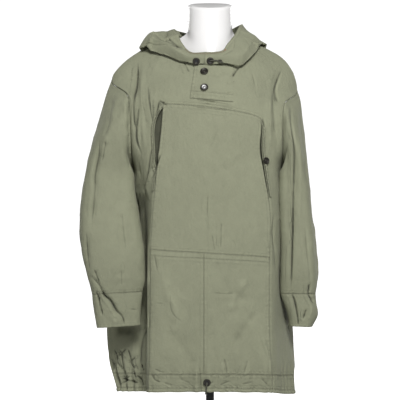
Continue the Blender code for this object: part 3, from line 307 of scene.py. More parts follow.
# Folds pressed into or raised from the cloth, each along a path that is seen from one side: from the
# front and back a path's points are (x, z), from the left and right (y, z). The height is negative in
# a trough, and the lean raises one flank of it. A fold's place in the whole list sets how its height
# wavers along it, so the order stays as it is.
FRONT, BACK, FAR_LEFT, FAR_RIGHT, TOP = "front", "back", "far_left", "far_right", "top"
VIEW_AXES = {FRONT: (0, 2), BACK: (0, 2), FAR_LEFT: (1, 2), FAR_RIGHT: (1, 2), TOP: (0, 1)}
VIEW_FACING = {FRONT: (0, -1, 0), BACK: (0, 1, 0), FAR_LEFT: (-1, 0, 0), FAR_RIGHT: (1, 0, 0),
               TOP: (0, 0, 1)}
BODY, LEFT, RIGHT = "body", "left arm", "right arm"
HOOD_L, HOOD_R = "left hood", "right hood"
Fold = namedtuple("Fold", "half_width height lean path")
FOLDS = (
    (BODY, FRONT, (
        Fold(4, -4.0, 0.3, ((-186, 968), (-188, 935), (-190, 904), (-193, 873), (-195, 841), (-192, 803),
              (-187, 793), (-187, 758), (-176, 725))),
        Fold(4, -3.0, 0.0, ((-182, 844), (-186, 793))),
        Fold(4, -2.6, 0.6, ((-160, 902), (-157, 867), (-151, 829), (-144, 801))),
        Fold(8, 2.2, 0.0, ((-174, 957), (-175, 887), (-172, 811), (-167, 745))),
        Fold(4, -2.0, 0.4, ((-67, 961), (-61, 949), (-54, 935))),
        Fold(5, -3.2, 0.4, ((74, 947), (66, 938), (54, 920))),
        Fold(4, -3.4, -0.3, ((184, 945), (175, 921), (167, 894), (169, 877), (173, 859))),
        Fold(9, -3.0, 0.0, ((163, 892), (162, 836), (166, 773))),
        Fold(7, 2.0, 0.0, ((155, 892), (151, 824), (152, 735))),
        Fold(3, -1.4, 0.5, ((107, 932), (112, 912), (114, 897))),
        Fold(6, -1.6, 0.0, ((2, 930), (24, 928), (47, 937))),
        Fold(5, -1.4, 0.3, ((42, 904), (62, 911))),
        Fold(5, -1.6, 0.3, ((35, 870), (55, 882))),
        Fold(4, -1.2, 0.0, ((-181, 695), (-176, 667))),
        Fold(7, -3.5, -0.3, ((-188, 644), (-183, 572), (-178, 509), (-174, 478), (-168, 432))),
        Fold(8, 2.5, 0.0, ((-170, 596), (-167, 533), (-162, 470))),
        Fold(5, 3.0, 0.0, ((-128, 733), (-141, 702), (-155, 664), (-160, 643), (-157, 622), (-153, 604))),
        Fold(6, -1.3, 0.0, ((-7, 619), (-9, 569))),
        Fold(4, -1.3, 0.5, ((4, 521), (11, 483))),
        Fold(6, -1.2, 0.3, ((28, 553), (26, 488))),
        Fold(10, -1.6, 0.3, ((-6, 733), (9, 760), (19, 791))),
        Fold(14, -1.5, 0.0, ((22, 680), (55, 695), (90, 710))),
        Fold(7, -1.3, 0.2, ((9, 376), (35, 373), (62, 374))),
        Fold(16, -2.2, 0.0, ((14, 463), (30, 417), (70, 367), (115, 357))),
        Fold(5, -1.2, 0.4, ((-101, 372), (-97, 328), (-71, 302))),
        Fold(18, 1.8, 0.0, ((-127, 427), (-97, 382), (-61, 357))),
        Fold(16, -1.8, 0.0, ((-82, 268), (-61, 225), (-36, 190))),
        Fold(5, -1.0, 0.0, ((-135, 349), (-119, 348))),
        Fold(5, -1.6, 0.3, ((-142, 470), (-135, 432))),
        Fold(5, 3.0, 0.5, ((129, 273), (139, 235), (148, 204), (150, 160))),
        Fold(6, -1.8, 0.4, ((35, 210), (40, 190), (42, 172))),
        Fold(6, -1.5, 0.4, ((93, 205), (88, 185), (83, 172))),
        Fold(5, -2.0, 0.2, ((160, 574), (158, 531), (162, 483), (166, 432))),
        Fold(7, 2.0, 0.0, ((173, 609), (179, 508), (181, 420))),
        Fold(4, -3.0, 0.3, ((132, 814), (135, 803), (137, 791))),
        Fold(7, 1.6, 0.2, ((128, 791), (129, 755), (131, 723))),
        Fold(5, -3.2, 0.3, ((-237, 223), (-231, 198), (-228, 165))),
        Fold(5, -3.2, 0.3, ((-214, 223), (-208, 198), (-205, 181), (-191, 172))),
        Fold(4, -2.2, 0.3, ((-195, 200), (-193, 185), (-185, 170))),
        Fold(5, -2.0, 0.0, ((-251, 205), (-246, 165))),
    )),
    (LEFT, FRONT, (
        Fold(8, -4.0, 0.35, ((-283, 767), (-287, 720), (-295, 669), (-294, 644), (-297, 601), (-301, 550))),
        Fold(7, -2.0, 0.0, ((-266, 759), (-275, 708))),
        Fold(9, -2.6, 0.3, ((-224, 578), (-220, 530), (-214, 484))),
        Fold(8, -3.0, 0.3, ((-315, 527), (-315, 477), (-308, 431))),
        Fold(12, 2.2, 0.0, ((-239, 877), (-254, 801), (-267, 747))),
        Fold(10, -2.2, 0.2, ((-248, 871), (-259, 803), (-273, 762))),
        Fold(14, -2.0, 0.0, ((-230, 736), (-232, 647), (-235, 571))),
        Fold(5, -4.2, 0.3, ((-201, 976), (-202, 937), (-199, 907), (-206, 886), (-207, 823))),
        Fold(5, -2.2, 0.3, ((-207, 956), (-210, 920))),
        Fold(8, -2.0, 0.0, ((-209, 813), (-206, 736), (-208, 685))),
        Fold(5, -5.5, 0.7, ((-302, 410), (-294, 404), (-281, 388), (-271, 367), (-254, 352), (-239, 327),
              (-224, 312), (-217, 287))),
        Fold(4, -4.0, 0.5, ((-294, 377), (-287, 363), (-281, 338), (-274, 315))),
        Fold(5, -2.6, 0.4, ((-295, 431), (-283, 398))),
        Fold(12, 2.5, 0.0, ((-260, 339), (-248, 313), (-237, 288))),
        Fold(6, -1.5, 0.0, ((-202, 331), (-187, 329))),
        Fold(8, -1.8, 0.0, ((-226, 431), (-225, 392))),
    )),
    (RIGHT, FRONT, (
        Fold(5, -4.6, 0.3, ((204, 859), (210, 780), (213, 724), (213, 698), (210, 614), (208, 530),
              (206, 466), (205, 372))),
        Fold(9, 2.4, 0.0, ((221, 851), (226, 762), (228, 660), (224, 533))),
        Fold(8, -2.0, 0.2, ((240, 543), (244, 487), (251, 426), (253, 395))),
        Fold(6, -2.2, 0.0, ((200, 879), (191, 866), (185, 843))),
        Fold(9, -2.0, 0.0, ((231, 833), (242, 736), (247, 634))),
        Fold(5, -2.6, 0.3, ((192, 945), (189, 915), (186, 877))),
        Fold(4, -4.0, 0.4, ((206, 372), (215, 348), (221, 316), (225, 288))),
        Fold(5, -4.2, 0.4, ((252, 395), (251, 369), (258, 357), (265, 344))),
        Fold(5, -3.0, 0.3, ((244, 329), (237, 306))),
        Fold(8, 2.5, 0.0, ((257, 347), (257, 324), (247, 301))),
        Fold(10, -2.0, 0.0, ((194, 762), (197, 634), (198, 507))),
    )),
    # The body's bulge beside the sleeves, and the hood's own folds.
    (BODY, FAR_RIGHT, (
        Fold(26, 3.0, 0.0, ((0, 710), (0, 640), (0, 560), (0, 450), (6, 350), (10, 300))),
    )),
    (BODY, FAR_LEFT, (
        Fold(24, 2.4, 0.0, ((10, 710), (12, 660), (14, 600), (20, 540))),
    )),
    (HOOD_L, FRONT, (
        Fold(4, -2.2, 0.5, ((-146, 1040), (-129, 1025), (-103, 1015), (-69, 998))),
        Fold(6, -3.6, 0.4, ((-116, 1036), (-95, 1017), (-77, 1002))),
        Fold(5, -1.3, 0.3, ((-167, 1011), (-137, 1008), (-95, 1006), (-65, 993))),
    )),
    (HOOD_L, TOP, (
        Fold(9, -5.0, 0.2, ((-116, -60), (-112, -10), (-110, 50))),
    )),
    (HOOD_R, FRONT, (
        Fold(4, -1.2, 0.3, ((60, 995), (63, 1008), (64, 1021))),
        Fold(9, -1.0, 0.3, ((92, 1024), (100, 1006), (102, 990))),
        Fold(5, -1.0, 0.3, ((30, 976), (44, 984), (58, 992))),
    )),
    (HOOD_L, BACK, (
        Fold(10, -3.5, 0.3, ((-120, 990), (-90, 940), (-50, 900), (-10, 880))),
        Fold(9, -3.0, -0.3, ((-60, 1020), (-50, 980), (-30, 930))),
        Fold(12, 3.0, 0.0, ((-100, 1010), (-76, 960), (-36, 915))),
    )),
    (HOOD_R, BACK, (
        Fold(10, -3.5, 0.3, ((124, 996), (96, 946), (60, 900), (14, 876))),
        Fold(9, -3.0, -0.3, ((66, 1024), (52, 984), (28, 934))),
        Fold(12, 3.0, 0.0, ((108, 1012), (80, 966), (40, 918))),
    )),
    # Below the left pocket's mouth, and a hollow under each cuff, deep enough that the relief tones paint
    # shade into it.
    (BODY, FRONT, (
        Fold(4, -4.0, 0.3, ((-127, 722), (-135, 700), (-148, 662))),
        Fold(4, -4.0, 0.3, ((-147, 745), (-155, 712), (-163, 662), (-169, 637), (-160, 610), (-151, 603))),
        Fold(22, -8.0, 0.0, ((-252, 276), (-220, 274), (-176, 280))),
        Fold(12, -6.0, 0.0, ((206, 286), (222, 262))),
    )),
    (HOOD_L, TOP, (
        Fold(12, 5.0, 0.0, ((-152, -40), (-148, -10), (-146, 12))),
    )),
    # The left pocket's top corner, and the body's ridges beside the sleeves.
    (BODY, FRONT, (
        Fold(4, -4.0, 0.4, ((-130, 861), (-121, 856), (-111, 849))),
        Fold(4, -3.6, 0.3, ((-130, 861), (-134, 841), (-140, 812))),
        Fold(16, 5.0, 0.0, ((-192, 700), (-186, 600), (-178, 500), (-172, 430))),
        Fold(16, 3.5, 0.0, ((184, 690), (186, 600), (186, 500), (185, 430))),
        # Puckers that run across below the placket.
        Fold(3, -1.6, 0.4, ((-38, 863), (7, 857), (54, 849))),
        Fold(3, -1.4, 0.4, ((-26, 853), (20, 848), (62, 838))),
        Fold(3, -1.6, 0.4, ((-38, 843), (0, 839), (45, 835))),
        # The hollow beside the bib's lower left edge, the skirts' diagonals and a line down the bib.
        Fold(9, -6.0, 0.0, ((-165, 390), (-163, 300), (-162, 220), (-163, 150))),
        Fold(14, 3.0, 0.0, ((-120, 390), (-96, 352), (-84, 312), (-98, 262))),
        Fold(14, 3.0, 0.0, ((96, 420), (66, 372), (44, 322))),
        Fold(12, -2.6, 0.0, ((120, 330), (86, 288), (60, 240))),
        Fold(4, 1.6, 0.0, ((-2, 640), (-3, 560), (-2, 500))),
        # Crumples of the gathered hem.
        Fold(5, -5, 0.4, ((-250, 220), (-243, 187), (-229, 167))),
        Fold(4, -5, 0.3, ((-231, 144), (-203, 139), (-184, 137))),
        Fold(4, -5, -0.3, ((-222, 167), (-217, 144))),
        Fold(4, -5, 0.4, ((-198, 167), (-193, 144))),
        Fold(4, -5, 0.3, ((-181, 187), (-172, 167))),
        Fold(4, -3.5, 0.3, ((-240, 202), (-219, 222))),
        Fold(4, -4.5, -0.3, ((-209, 153), (-230, 131))),
        Fold(5, -5, 0.4, ((-247, 159), (-232, 125))),
        Fold(4, -5, 0.3, ((-189, 156), (-171, 131))),
        Fold(4, -3, 0.3, ((-212, 187), (-194, 202))),
        Fold(5, -4, 0.3, ((-260, 197), (-253, 161))),
        Fold(5, -1.75, 0.3, ((-140, 182), (-117, 173))),
        Fold(5, -2, 0.4, ((-149, 168), (-140, 154), (-126, 149))),
        Fold(5, -1.5, 0.3, ((-5, 145), (9, 152))),
        Fold(5, -1.75, 0.4, ((23, 142), (37, 149), (51, 152))),
        Fold(5, -1.5, 0.3, ((79, 145), (107, 150))),
        Fold(5, -1.75, 0.3, ((130, 157), (145, 142))),
        Fold(5, -1.2, 0.3, ((37, 162), (54, 169))),
        Fold(5, -1.2, -0.3, ((82, 164), (100, 172))),
        Fold(5, -1.3, 0.3, ((-116, 147), (-96, 142))),
        Fold(5, -1.1, 0.3, ((-76, 159), (-51, 147))),
        # Hem, sides and back, which the photograph hides or hardly shows.
        Fold(6, -1.8, 0.5, ((-27, 190), (-25, 160), (-22, 120))),
        Fold(6, 2.5, 0.0, ((-36, 190), (-35, 160), (-33, 122))),
    )),
    (BODY, BACK, (
        Fold(12, -5.0, 0.4, ((-120, 860), (-96, 780), (-52, 700), (-30, 640))),
        Fold(10, -4.0, -0.3, ((118, 840), (98, 760), (64, 660), (50, 590))),
        Fold(18, 4.5, 0.0, ((-150, 560), (-138, 430), (-116, 260), (-110, 190))),
        Fold(9, -4.0, 0.5, ((-60, 520), (-72, 380), (-66, 210))),
        Fold(20, 5.0, 0.0, ((8, 600), (-4, 420), (2, 240), (10, 180))),
        Fold(8, -4.0, -0.5, ((74, 540), (60, 400), (72, 230))),
        Fold(16, 4.0, 0.0, ((132, 580), (128, 420), (114, 240))),
        Fold(7, -3.0, 0.4, ((-30, 700), (-14, 610), (-18, 540))),
        Fold(6, -3.0, 0.4, ((-170, 700), (-160, 600), (-165, 500))),
        Fold(6, -3.0, -0.4, ((160, 690), (150, 590), (152, 480))),
        Fold(8, -2.5, 0.3, ((20, 420), (40, 330), (30, 250))),
        Fold(12, -3.0, 0.0, ((-20, 800), (30, 770), (80, 780))),
    )),
    (BODY, FAR_LEFT, (
        Fold(9, -4.5, 0.4, ((-20, 640), (-6, 520), (10, 400), (4, 290))),
        Fold(8, -4.0, -0.4, ((70, 620), (84, 480), (90, 350), (76, 220))),
        Fold(14, 3.5, 0.0, ((40, 560), (52, 400), (40, 230))),
        Fold(7, -3.5, 0.4, ((-30, 330), (-22, 250), (-30, 180))),
        Fold(6, -3.0, 0.4, ((60, 280), (66, 220), (60, 170))),
    )),
    (BODY, FAR_RIGHT, (
        Fold(8, -4.0, 0.4, ((-20, 600), (-10, 480), (6, 360), (0, 240))),
        Fold(9, -4.0, -0.4, ((64, 640), (80, 500), (92, 360), (84, 220))),
        Fold(14, 3.5, 0.0, ((30, 560), (44, 420), (40, 260))),
    )),
    (LEFT, FAR_LEFT, (
        Fold(9, -4.5, 0.4, ((10, 860), (-8, 760), (-34, 660), (-40, 560))),
        Fold(8, -4.0, -0.4, ((40, 800), (20, 700), (4, 600), (-6, 520))),
        Fold(9, -5.0, 0.5, ((-84, 520), (-60, 470), (-40, 430), (-44, 380))),
        Fold(7, -4.0, 0.5, ((-70, 440), (-52, 400), (-58, 350))),
        Fold(10, 3.0, 0.0, ((-20, 540), (-30, 450), (-44, 400))),
        Fold(6, -3.5, 0.4, ((-50, 360), (-56, 330), (-48, 300))),
    )),
    (LEFT, BACK, (
        Fold(10, -5.0, 0.4, ((-236, 860), (-262, 740), (-268, 620), (-250, 520))),
        Fold(8, -4.0, -0.4, ((-300, 640), (-290, 540), (-270, 460), (-264, 400))),
        Fold(8, -4.0, 0.5, ((-224, 520), (-232, 440), (-250, 384))),
        Fold(12, 3.0, 0.0, ((-290, 760), (-306, 640), (-296, 520))),
        Fold(7, -3.5, 0.4, ((-216, 350), (-228, 320), (-226, 292))),
    )),
    (RIGHT, FAR_RIGHT, (
        Fold(9, -4.5, 0.4, ((20, 830), (4, 720), (-6, 610), (4, 500))),
        Fold(8, -4.0, -0.4, ((-50, 800), (-56, 680), (-44, 560), (-52, 460))),
        Fold(8, -4.5, 0.5, ((30, 480), (16, 430), (20, 372))),
        Fold(10, 3.0, 0.0, ((-24, 560), (-30, 460), (-24, 390))),
        Fold(6, -3.5, 0.4, ((-30, 360), (-24, 330), (-34, 296))),
    )),
    (RIGHT, BACK, (
        Fold(9, -4.5, 0.4, ((214, 840), (226, 720), (236, 600), (230, 500))),
        Fold(7, -4.0, -0.4, ((250, 560), (246, 470), (250, 390))),
        Fold(6, -3.5, 0.4, ((232, 352), (228, 320), (236, 292))),
    )),
)
ALL_FOLDS = [(zone, view, fold) for zone, view, folds in FOLDS for fold in folds]


def hermite(t, start, leaving, end, arriving):
    """The cubic between two points with the given tangents."""
    return ((2 * t**3 - 3 * t**2 + 1) * start + (t**3 - 2 * t**2 + t) * leaving
            + (3 * t**2 - 2 * t**3) * end + (t**3 - t**2) * arriving)


def catmull(values, position):
    """Smooth curve through rows of values, at positions counted in rows."""
    values = np.asarray(values, float)
    slope = np.gradient(values, axis=0)
    low = np.clip(np.floor(position).astype(int), 0, len(values) - 2)
    t = (position - low).reshape(position.shape + (1,) * (values.ndim - 1))
    return hermite(t, values[low], slope[low], values[low + 1], slope[low + 1])


def station_height(centre, flank, station):
    """The bib edge and tuck lie between front centre and side, the blade between side and back."""
    if station == 4:
        return flank.side_z + HEIGHT_SHARE[4] * (centre.back_z - flank.side_z)
    return centre.front_z + HEIGHT_SHARE[station] * (flank.side_z - centre.front_z)


def flank_points(centre, flank, sign):
    """One side's front stations from bib edge to side seam, then its rear stations."""
    front = [(sign * flank.bib_x, flank.bib_y, station_height(centre, flank, 1)),
             (sign * flank.tuck_x, flank.tuck_y, station_height(centre, flank, 2)),
             (sign * flank.side_x, flank.side_y, flank.side_z)]
    rear = [(sign * flank.rear_x, flank.rear_y, flank.side_z),
            (sign * flank.blade_x, flank.blade_y, station_height(centre, flank, 4))]
    return front, rear


def station_table():
    """Station points of every level: [level, slot, xyz]. The slots run from the back centre round the
    left, three rear and three front, to the front centre and back round the right."""
    rows = []
    for centre, left, right in zip(CENTRE, FLANK_LEFT, FLANK_RIGHT):
        left_front, left_rear = flank_points(centre, left, -1)
        right_front, right_rear = flank_points(centre, right, 1)
        back = [(0, centre.back_y, centre.back_z)]
        rows.append(back + left_rear[::-1] + left_front[::-1] + [(0, centre.front_y, centre.front_z)]
                    + right_front + right_rear + back)
    return np.array(rows) * MM


STATIONS = station_table()
REAR_LEFT, SIDE_LEFT, SIDE_RIGHT, REAR_RIGHT = 2, 3, 9, 10


def smoothstep(value, low, high):
    t = np.clip((value - low) / (high - low), 0, 1)
    return t * t * (3 - 2 * t)


def front_curve(points):
    """The seven front stations with one rear neighbour on each end, and their tangents."""
    left_blade, right_blade = points[:, 1], points[:, 11]
    front = points[:, SIDE_LEFT:SIDE_RIGHT + 1]
    run = np.concatenate([left_blade[:, None], front, right_blade[:, None]], axis=1)
    return run, [ROUNDNESS[abs(k)] for k in range(-4, 5)]


def rear_curve(points):
    """The rear stations from the left tuck round the back to the right tuck."""
    run = np.concatenate([points[:, 4][:, None], points[:, REAR_LEFT::-1],
                          points[:, 11:REAR_RIGHT - 1:-1], points[:, 8][:, None]], axis=1)
    return run, [ROUNDNESS[k] for k in (2, 3, 4, 5, 4, 3, 2)]


def plain_surface(u, v):
    """The body without folds. u from -3 to 3 is the front; beyond 3 and below -3 is the back."""
    u, v = np.broadcast_arrays(np.asarray(u, float), np.asarray(v, float))
    flat_u, flat_v = u.ravel(), v.ravel()
    stations = catmull(STATIONS, flat_v)
    sewn = (flat_v <= LEVEL["armpit"]) | (flat_v >= LEVEL["cap"])
    for side, rear in ((SIDE_LEFT, REAR_LEFT), (SIDE_RIGHT, REAR_RIGHT)):
        middle = (stations[sewn, side] + stations[sewn, rear]) / 2
        stations[sewn, side] = stations[sewn, rear] = middle
    front = np.abs(flat_u) <= 3
    out = np.empty((len(flat_u), 3))
    for mask, (run, tension), slot in (
            (front, front_curve(stations), flat_u + 4),
            (~front, rear_curve(stations), np.where(flat_u < 0, -2 - flat_u, 8 - flat_u))):
        if not mask.any():
            continue
        run, place = run[mask], slot[mask]
        slope = np.gradient(run, axis=1) * np.asarray(tension)[None, :, None]
        low = np.clip(np.floor(place).astype(int), 0, run.shape[1] - 2)
        t = (place - low)[:, None]
        pick = np.arange(len(low))
        out[mask] = hermite(t, run[pick, low], slope[pick, low], run[pick, low + 1],
                            slope[pick, low + 1])
    return out.reshape(u.shape + (3,))


def unit(vectors):
    return vectors / np.maximum(np.linalg.norm(vectors, axis=-1, keepdims=True), 1e-12)


def surface_normal(surface, u, v, step=0.03):
    """Outward unit normals by differences; at an armhole or the top edge they are one-sided."""
    u, v = np.broadcast_arrays(np.asarray(u, float), np.asarray(v, float))
    open_side = (v > LEVEL["armpit"] + 0.01) & (v < LEVEL["cap"] - 0.01)
    is_front = np.abs(u) <= 3
    ahead, behind = u + step, u - step
    ahead = np.where(open_side & is_front, np.minimum(ahead, 3), ahead)
    behind = np.where(open_side & is_front, np.maximum(behind, -3), behind)
    ahead = np.where(open_side & ~is_front & (u < 0), np.minimum(ahead, -BEHIND_SIDE), ahead)
    behind = np.where(open_side & ~is_front & (u > 0), np.maximum(behind, BEHIND_SIDE), behind)
    at_side = np.abs(np.abs(u) - 3) < 0.01
    above = np.where(at_side & (np.abs(v - LEVEL["armpit"]) < 0.01), v, v + step)
    below = np.where(at_side & (np.abs(v - LEVEL["cap"]) < 0.01), v, v - step)
    across = surface(ahead, v) - surface(behind, v)
    up = surface(u, np.minimum(above, len(LEVELS) - 1)) - surface(u, np.maximum(below, 0))
    return unit(np.cross(across, up))


def crease_height(points, facing_y):
    """How far the large folds move each point out along its normal."""
    total = np.zeros(points.shape[:-1])
    for crease in CREASES:
        start = np.array((crease.x0, crease.z0)) * MM
        along = np.array((crease.x1, crease.z1)) * MM - start
        relative = points[..., (0, 2)] - start
        share = np.clip((relative @ along) / (along @ along), 0, 1)
        distance = np.linalg.norm(relative - share[..., None] * along, axis=-1)
        ends = np.sin(math.pi * np.clip(share, 0.06, 0.94)) ** 0.5
        bump = crease.height * MM * ends * np.exp(-(distance / (crease.half_width * MM)) ** 2)
        total += np.where(facing_y * crease.facing > 0.25, bump, 0)
    return total


def gather_height(u, v):
    """Gathers that the hem cord draws into the casing and the cloth just above it."""
    phase = 2 * math.pi * GATHERS_PER_STATION * (u + 0.07 * np.sin(5.1 * u + 0.4))
    uneven = 0.65 + 0.35 * np.sin(2.3 * u + 1.1)
    strong = np.where((u < -1.3) & (u > -4), 1.7, 1.0)
    fade = 1 - smoothstep(v, LEVEL["casing"], LEVEL["casing"] + GATHER_REACH)
    return GATHER_HEIGHT * np.cos(phase) * uneven * strong * fade


def body_surface(u, v):
    """The body with its folds; the gathers belong to the casing alone."""
    base = plain_surface(u, v)
    normal = surface_normal(plain_surface, u, v)
    return base + normal * crease_height(base, normal[..., 1])[..., None]


def casing_surface(u, v):
    u, v = np.broadcast_arrays(np.asarray(u, float), np.asarray(v, float))
    normal = surface_normal(plain_surface, u, v)
    return body_surface(u, v) + normal * gather_height(u, v)[..., None]


# ---- Folds and creases --------------------------------------------------------------------------

CREASE_REACH = 14.0  # millimetres


def lattice(cells, seed):
    """A repeatable number from 0 to 1 for each whole-number cell."""
    mixed = cells[..., 0] * 73856093 ^ cells[..., 1] * 19349663 ^ cells[..., 2] * 83492791
    mixed = (mixed ^ (seed * 2654435)) & 0x7FFFFFFF
    mixed = ((mixed ^ (mixed >> 13)) * 1274126177) & 0x7FFFFFFF
    return ((mixed ^ (mixed >> 16)) & 0xFFFF) / 65535


def noise(points, size, seed):
    """Smooth noise from 0 to 1, one bump to each size."""
    scaled = points / np.asarray(size)
    base = np.floor(scaled).astype(np.int64)
    t = scaled - base
    t = t * t * (3 - 2 * t)
    total = 0
    for corner in np.ndindex(2, 2, 2):
        weight = np.prod(np.where(np.array(corner, bool), t, 1 - t), axis=-1)
        total = total + weight * lattice(base + corner, seed)
    return total


def crumple_height(points, strength):
    """Small soft wrinkles that cross each other, longer than they are wide."""
    drift = np.stack([noise(points, 0.07, seed) for seed in (1, 2, 3)], axis=-1) - 0.5
    bent = points + 0.03 * drift
    broad = 1 - np.abs(2 * noise(bent, (0.042, 0.042, 0.075), 5) - 1)
    narrow = 1 - np.abs(2 * noise(bent, (0.019, 0.019, 0.034), 9) - 1)
    patch = smoothstep(noise(points, 0.11, 12), 0.25, 0.8)
    return strength * MM * (1.5 * broad**2 + 0.7 * patch * narrow**2 - 0.9)


def to_path(flat, path):
    """For each point: its signed distance from a path, and its share of the way along it."""
    best = np.full(flat.shape[:-1], np.inf)
    share = np.zeros_like(best)
    steps = np.linalg.norm(np.diff(path, axis=0), axis=1)
    done = np.concatenate([[0], np.cumsum(steps)]) / steps.sum()
    for start, end, low, high in zip(path, path[1:], done, done[1:]):
        along = end - start
        relative = flat - start
        t = np.clip((relative @ along) / (along @ along), 0, 1)
        away = relative - t[..., None] * along
        side = np.where(along[0] * away[..., 1] - along[1] * away[..., 0] < 0, -1, 1)
        distance = side * np.linalg.norm(away, axis=-1)
        nearer = np.abs(distance) < np.abs(best)
        best = np.where(nearer, distance, best)
        share = np.where(nearer, low + t * (high - low), share)
    return best, share


def fold_height(points, normals, zone):
    """How far the folds of a zone move each point out, and the lines that run along their bottoms:
    the signed distance to the nearest one in millimetres, and how sharp it is there."""
    total = np.zeros(points.shape[:-1])
    away = np.full(points.shape[:-1], CREASE_REACH)
    sharp = np.zeros(points.shape[:-1])
    for index, (fold_zone, view, fold) in enumerate(ALL_FOLDS):
        if fold_zone != zone:
            continue
        rows = np.array(fold.path, float) * MM
        path = catmull(rows, np.linspace(0, len(rows) - 1, 5 * (len(rows) - 1) + 1))
        flat = points[..., VIEW_AXES[view]]
        width = fold.half_width * FOLD_NARROW * MM
        reach = max(3 * width, CREASE_REACH * MM)
        near = np.all((flat > path.min(0) - reach) & (flat < path.max(0) + reach), axis=-1)
        facing = normals[near] @ np.array(VIEW_FACING[view], float)
        distance, share = to_path(flat[near], path)
        t = distance / width
        ends = 0.2 + 0.8 * smoothstep(share, 0, 0.2) * smoothstep(1 - share, 0, 0.2)
        wave = 1 + 0.22 * np.sin(9 * share + 1.7 * index) + 0.12 * np.sin(23 * share + index)
        bump = np.exp(-np.abs(t) ** 1.7) * (1 + fold.lean * t)
        facing = smoothstep(facing, 0.1, 0.45)
        total[near] += fold.height * FOLD_GAIN * MM * ends * wave * bump * facing
        if fold.height > 0:
            continue
        beyond = (share <= 0) | (share >= 1)
        nearer = (np.abs(distance) * 1000 < np.abs(away[near])) & (facing > 0.02)
        crisp = min(1.0, max(0.0, (11 - fold.half_width) / 5))
        depth = min(1.0, -fold.height / 3.2) * crisp * (1 - 0.5 * beyond)
        fade = smoothstep(share, 0, 0.12) * smoothstep(1 - share, 0, 0.12)
        away[near] = np.where(nearer, distance * 1000, away[near])
        sharp[near] = np.where(nearer, depth * fade * facing * np.clip(wave, 0, 1.2), sharp[near])
    return total, np.stack([away, sharp, 0 * sharp], axis=-1)


def grid_normals(points, closed=False):
    """Unit normals of a grid, by its neighbours."""
    if closed:
        across = np.roll(points, -1, axis=0) - np.roll(points, 1, axis=0)
    else:
        across = np.gradient(points, axis=0)
    return unit(np.cross(across, np.gradient(points, axis=1)))


def spans(points):
    """How far each point lies along the grid's first direction, and along its second."""
    across = np.linalg.norm(np.diff(points, axis=0), axis=-1)
    up = np.linalg.norm(np.diff(points, axis=1), axis=-1)
    first = np.concatenate([np.zeros((1, points.shape[1])), np.cumsum(across, axis=0)])
    second = np.concatenate([np.zeros((points.shape[0], 1)), np.cumsum(up, axis=1)], axis=1)
    return first, second


# A seam on a grid: its line's number, from where to where, and how strongly it puckers.
Seam = namedtuple("Seam", "line low high pucker")
FAR_AWAY = 0.5


def to_seams(place, other, seams):
    """(distance across, distance along, pucker) from the nearest of the seams, in millimetres."""
    nearest = np.full(place.shape, FAR_AWAY)
    pucker = np.zeros(place.shape)
    lines = np.arange(place.shape[1])
    for seam in seams:
        distance = np.abs(place - place[seam.line][None])
        beyond = np.maximum(seam.low - lines, 0) + np.maximum(lines - seam.high, 0)
        distance = distance + 0.004 * beyond[None]
        better = distance < nearest
        nearest = np.where(better, distance, nearest)
        pucker = np.where(better, seam.pucker, pucker)
    return np.stack([nearest * 1000, other * 1000, pucker], axis=-1)


def cloth_fields(points, relief, column_seams=(), row_seams=(), creases=None):
    """What the cloth's material reads at each point, in millimetres."""
    across, up = spans(points)
    down = to_seams(across, up, column_seams)
    level = to_seams(up.T, across.T, row_seams).transpose(1, 0, 2)
    flat = np.stack([across * 1000, up * 1000, 0 * up], axis=-1)
    if creases is None:
        creases = np.stack([0 * up + CREASE_REACH, 0 * up, 0 * up], axis=-1)
    return {"crease": creases, "cloth": flat, "seam_down": down, "seam_level": level,
            "relief": relief * 1000}


# ---- Meshes -------------------------------------------------------------------------------------

def add_piece(name, points, faces, material, smooth_angle, replaced=()):
    """A named piece with smooth shading that rides on the part's one body."""
    mesh = bpy.data.meshes.new(name)
    mesh.from_pydata(np.asarray(points, float).tolist(), [], [list(map(int, face)) for face in faces])
    mesh.materials.append(material)
    mesh.shade_smooth()
    mesh.set_sharp_from_angle(angle=math.radians(smooth_angle))
    made = bpy.data.objects.new(name, mesh)
    bpy.context.scene.collection.objects.link(made)
    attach(made, "root")
    if replaced:
        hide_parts(*replaced)
    return made


def cell_shifts(mask, closed):
    """For each grid point, which way it moves to leave a seam: +1, 0 or -1 across and along."""
    across_cells, along_cells = mask.shape
    padded = np.zeros((across_cells + 2, along_cells + 2), bool)
    padded[1:-1, 1:-1] = mask
    if closed:
        padded[0, 1:-1], padded[-1, 1:-1] = mask[-1], mask[0]
    before_low, before_high = padded[:-1, :-1], padded[:-1, 1:]
    after_low, after_high = padded[1:, :-1], padded[1:, 1:]
    counts = [part.astype(int) for part in (before_low, before_high, after_low, after_high)]
    across = np.sign(counts[2] + counts[3] - counts[0] - counts[1])
    along = np.sign(counts[1] + counts[3] - counts[0] - counts[2])
    return across, along, sum(counts) > 0


def draw_back(points, across, along, distance, closed):
    """Moves border points towards their inner neighbours by a distance."""
    after = np.roll(points, -1, axis=0)
    before = np.roll(points, 1, axis=0)
    if not closed:
        after[-1], before[0] = points[-1], points[0]
    above = np.concatenate([points[:, 1:], points[:, -1:]], axis=1)
    below = np.concatenate([points[:, :1], points[:, :-1]], axis=1)
    moved = points.copy()
    for sign, neighbour, field in ((1, after, across), (-1, before, across),
                                   (1, above, along), (-1, below, along)):
        moved += np.where((field == sign)[..., None], unit(neighbour - points) * distance, 0)
    return moved


